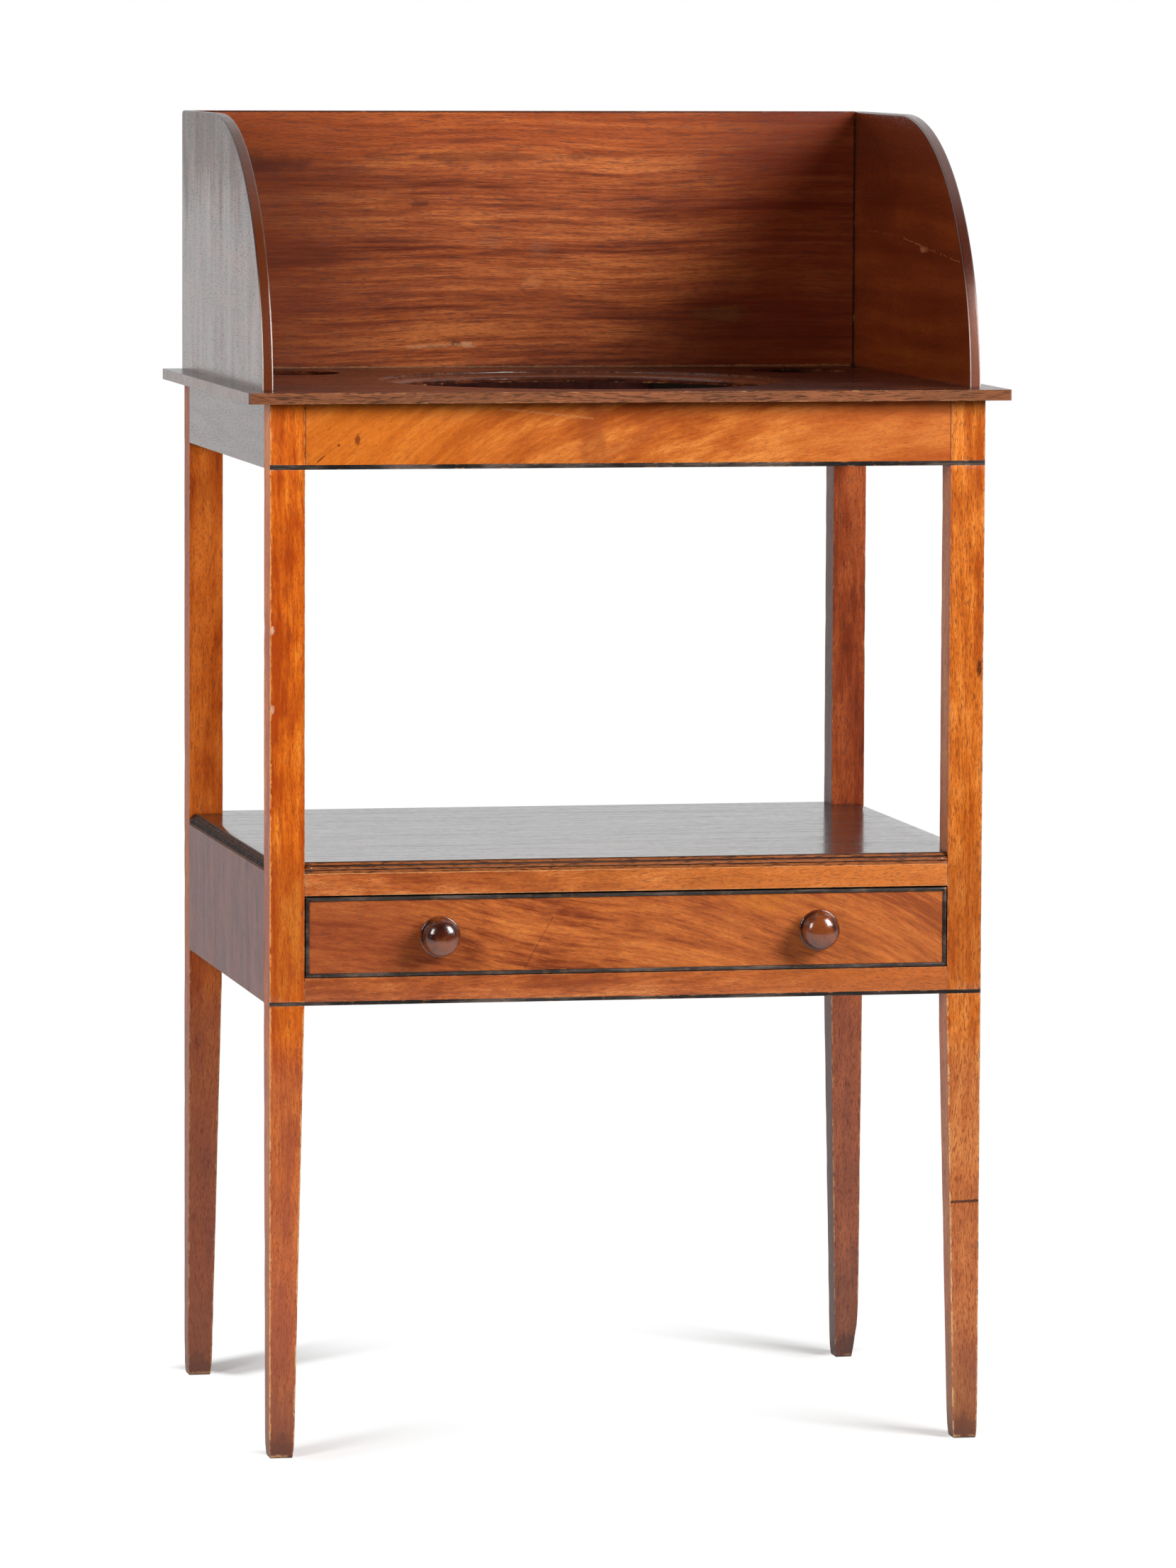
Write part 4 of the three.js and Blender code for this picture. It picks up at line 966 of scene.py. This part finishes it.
# The back frieze takes the darker side finish: painted shade for the inside seen through the basin's hole.
for node, finish, slot in (("frieze_back", "side", "mahogany_figured"), ("case_back", "lining_across", "pine")):
    low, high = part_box(node)
    joints = [{"y": high.y, "x": side * SHOULDER} for side in (-1, 1)]
    board(node, finish, [{"y": high.y, "z": low.z}], joints)
for side_name, side in SIDES.items():
    for node, finish in ((f"frieze_{side_name}", "frieze_side"), (f"case_side_{side_name}", "side")):
        low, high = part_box(node)
        outer = side * OUTER_X
        board(node, finish, [{"x": outer, "z": low.z}],
              [{"x": outer, "y": y} for y in SHOULDER_Y], grain=1)
for node in ("frieze_stringing", "case_stringing"):
    low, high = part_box(node)
    board(node, "black", [{"y": low.y, "z": low.z}, {"y": low.y, "z": high.z}], width=0.3 * MM)
print("boards done")

# %% [markdown]
# The top is a single board with a seat turned in it for the basin. Its square arrises are worn blunt and wavy,
# most at the corners. A bump would leave its outline straight, so the points themselves move inwards by noise.


# %% Top
def wavy(form, low, high, reach, depth):
    """Moves the points of a board's outline inwards by noise, and more at its corners."""
    for v in form.verts:
        pull = Vector()
        for axis in (0, 1):
            for at, inward in ((low[axis], 1), (high[axis], -1)):
                if abs(v.co[axis] - at) < reach:
                    pull[axis] += inward
        if pull.length:
            bite = max(0.0, noise.noise(v.co * 35) + 0.4 * noise.noise(v.co * 160) + 0.1)
            v.co += pull * bite * depth * (2.0 if pull.length > 1.2 else 1.0)


low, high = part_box("tabletop")
form = merged_copy("tabletop")
for axis in (0, 1):
    cut_every(form, axis, low[axis], high[axis], 12 * MM)
corners = [{"x": x, "y": y} for x in (low.x, high.x) for y in (low.y, high.y)]
round_off(form, edges_on(form, *corners), 2.4 * MM, 4)
outline = [{"x": low.x}, {"x": high.x}, {"y": low.y}, {"y": high.y}]
round_off(form, edges_on(form, *({**side, "z": z} for side in outline for z in (low.z, high.z))), 0.8 * MM)
wavy(form, low, high, 0.8 * MM, 0.5 * MM)
finish_piece(form, "tabletop", "top")
print("top done")

# %% [markdown]
# The shelf's thumb moulding comes from the CAD. Old polish has dripped on its left end, so the points there
# move by noise in all directions, which catches the light as drips do. The front moves much less.

# %% Shelf
MOULDING = 5 * MM
LEFT_LUMPS, FRONT_LUMPS = 0.55 * MM, 0.12 * MM
low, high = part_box("shelf")
form = merged_copy("shelf")
cut_every(form, 0, low.x, high.x, 12 * MM)
cut_every(form, 1, low.y, high.y, 6 * MM)
for v in form.verts:
    at_left, at_front = v.co.x < low.x + MOULDING, v.co.y < low.y + MOULDING
    if at_left or at_front:
        lump = noise.noise(v.co * 95) + 0.5 * noise.noise(v.co * 260)
        push = lump * (LEFT_LUMPS if at_left else FRONT_LUMPS)
        below_top = v.co.z < high.z - 0.1 * MM
        v.co += Vector((push * at_left, push * at_front, 0.4 * push * below_top))
finish_piece(form, "shelf", "shelf")
print("shelf done")

# %% [markdown]
# The gallery's ends come from the CAD with their arrises already rounded, and another bevel would only spoil
# their sweep. The back board's top edge is worn here.

# %% Gallery
for side_name in SIDES:
    node = f"gallery_{side_name}"
    finish_piece(merged_copy(node), node, node)
low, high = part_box("gallery_back")
form = merged_copy("gallery_back")
cut_every(form, 0, low.x, high.x, 14 * MM)
round_off(form, edges_on(form, {"y": low.y, "z": high.z}, {"y": high.y, "z": high.z}), 0.8 * MM)
finish_piece(form, "gallery_back", "gallery")
print("gallery done")

# %% [markdown]
# The drawer's front lies behind a black half-round bead. The bead is worn, so its nose is uneven: its points
# are pushed back by noise, which leaves the rest of the bead in its rebate.

# %% Drawer
finish_piece(merged_copy("drawer_front"), "drawer_front", "drawer")
for name, along in (("lower", 0), ("upper", 0), ("left", 2), ("right", 2)):
    node = f"cockbead_{name}"
    low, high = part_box(node)
    form = merged_copy(node)
    cut_every(form, along, low[along], high[along], 6 * MM)
    for v in form.verts:
        if v.co.y < FRONT_Y + 0.2 * MM:
            v.co.y += max(0.0, noise.noise(v.co * 70)) * 0.5 * MM
    finish_piece(form, node, "black")
for name, finish, across in (("side_left", "lining", "x"), ("side_right", "lining", "x"),
                             ("back", "lining_across", "y"), ("bottom", "lining_across", None)):
    node = f"drawer_{name}"
    form = merged_copy(node)
    if across:
        low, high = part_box(node)
        tops = [{across: getattr(end, across), "z": high.z} for end in (low, high)]
        round_off(form, edges_on(form, *tops), 0.6 * MM)
    finish_piece(form, node, finish)
print("drawer done")

# %% [markdown]
# A knob is turned on a lathe. Flattened spheres could be stacked, but a spin makes it as the lathe does: half
# of its outline, drawn from the wall to the crown, goes once round the knob's own axis. A quirk parts the thin
# rim from the ball in front of it.

# %% Knobs
KNOB_STEPS = 96
QUARTER = [math.radians(angle) for angle in range(15, 91, 15)]
CROWN = [math.radians(angle) for angle in range(6, 85, 6)]
KNOB_OUTLINE_MM = [(8.5, 0), (8.5, 1.2), (7.5, 3.8)]
KNOB_OUTLINE_MM += [(7.5 + 7.3 * (1 - math.cos(t)), 3.8 + 3.6 * math.sin(t)) for t in QUARTER]
KNOB_OUTLINE_MM += [(14.8 + 1.2 * math.sin(2 * t), 8.6 - 1.2 * math.cos(2 * t)) for t in QUARTER]
KNOB_OUTLINE_MM += [(13.2, 9.9), (13.2, 10.3)]
KNOB_OUTLINE_MM += [(13.2 + 1.3 * math.sin(t), 15.4 - 5 * math.cos(t)) for t in QUARTER]
KNOB_OUTLINE_MM += [(14.5 * math.cos(t), 15.4 + 9.8 * math.sin(t)) for t in CROWN]
KNOB_OUTLINE_MM += [(0, 25.2)]


def knob(node):
    low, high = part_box(node)
    centre = Vector(((low.x + high.x) / 2, FRONT_Y, (low.z + high.z) / 2))
    form = bmesh.new()
    outline = [form.verts.new(centre + Vector((radius, -out, 0)) * MM) for radius, out in KNOB_OUTLINE_MM]
    edges = [form.edges.new(pair) for pair in zip(outline, outline[1:])]
    bmesh.ops.spin(form, geom=outline + edges, cent=centre, axis=(0, 1, 0), angle=2 * math.pi,
                   steps=KNOB_STEPS, use_merge=True)
    bmesh.ops.remove_doubles(form, verts=form.verts, dist=NEAR / 10)
    bmesh.ops.holes_fill(form, edges=[edge for edge in form.edges if edge.is_boundary])
    bmesh.ops.recalc_face_normals(form, faces=form.faces)
    return form


for side_name in SIDES:
    node = f"knob_{side_name}"
    finish_piece(knob(node), node, "knob", "turned")
print("knobs done")

# %% [markdown]
# What stays hidden needs no wear, so it keeps its CAD mesh and gets its own finish: pine for runners, guides,
# stops and blocks, and rusty iron for screws and nails.

# %% Hidden pieces
for node, item in frame["nodes"].items():
    if not item.hide_render:
        # Painted shade: blocks get the pine that is painted dark.
        finish = "iron" if "screw" in node or "nail" in node else "old_pine" if "block" in node else "lining"
        item.data.materials.clear()
        item.data.materials.append(finishes[finish])
        print(node, "is", finish)
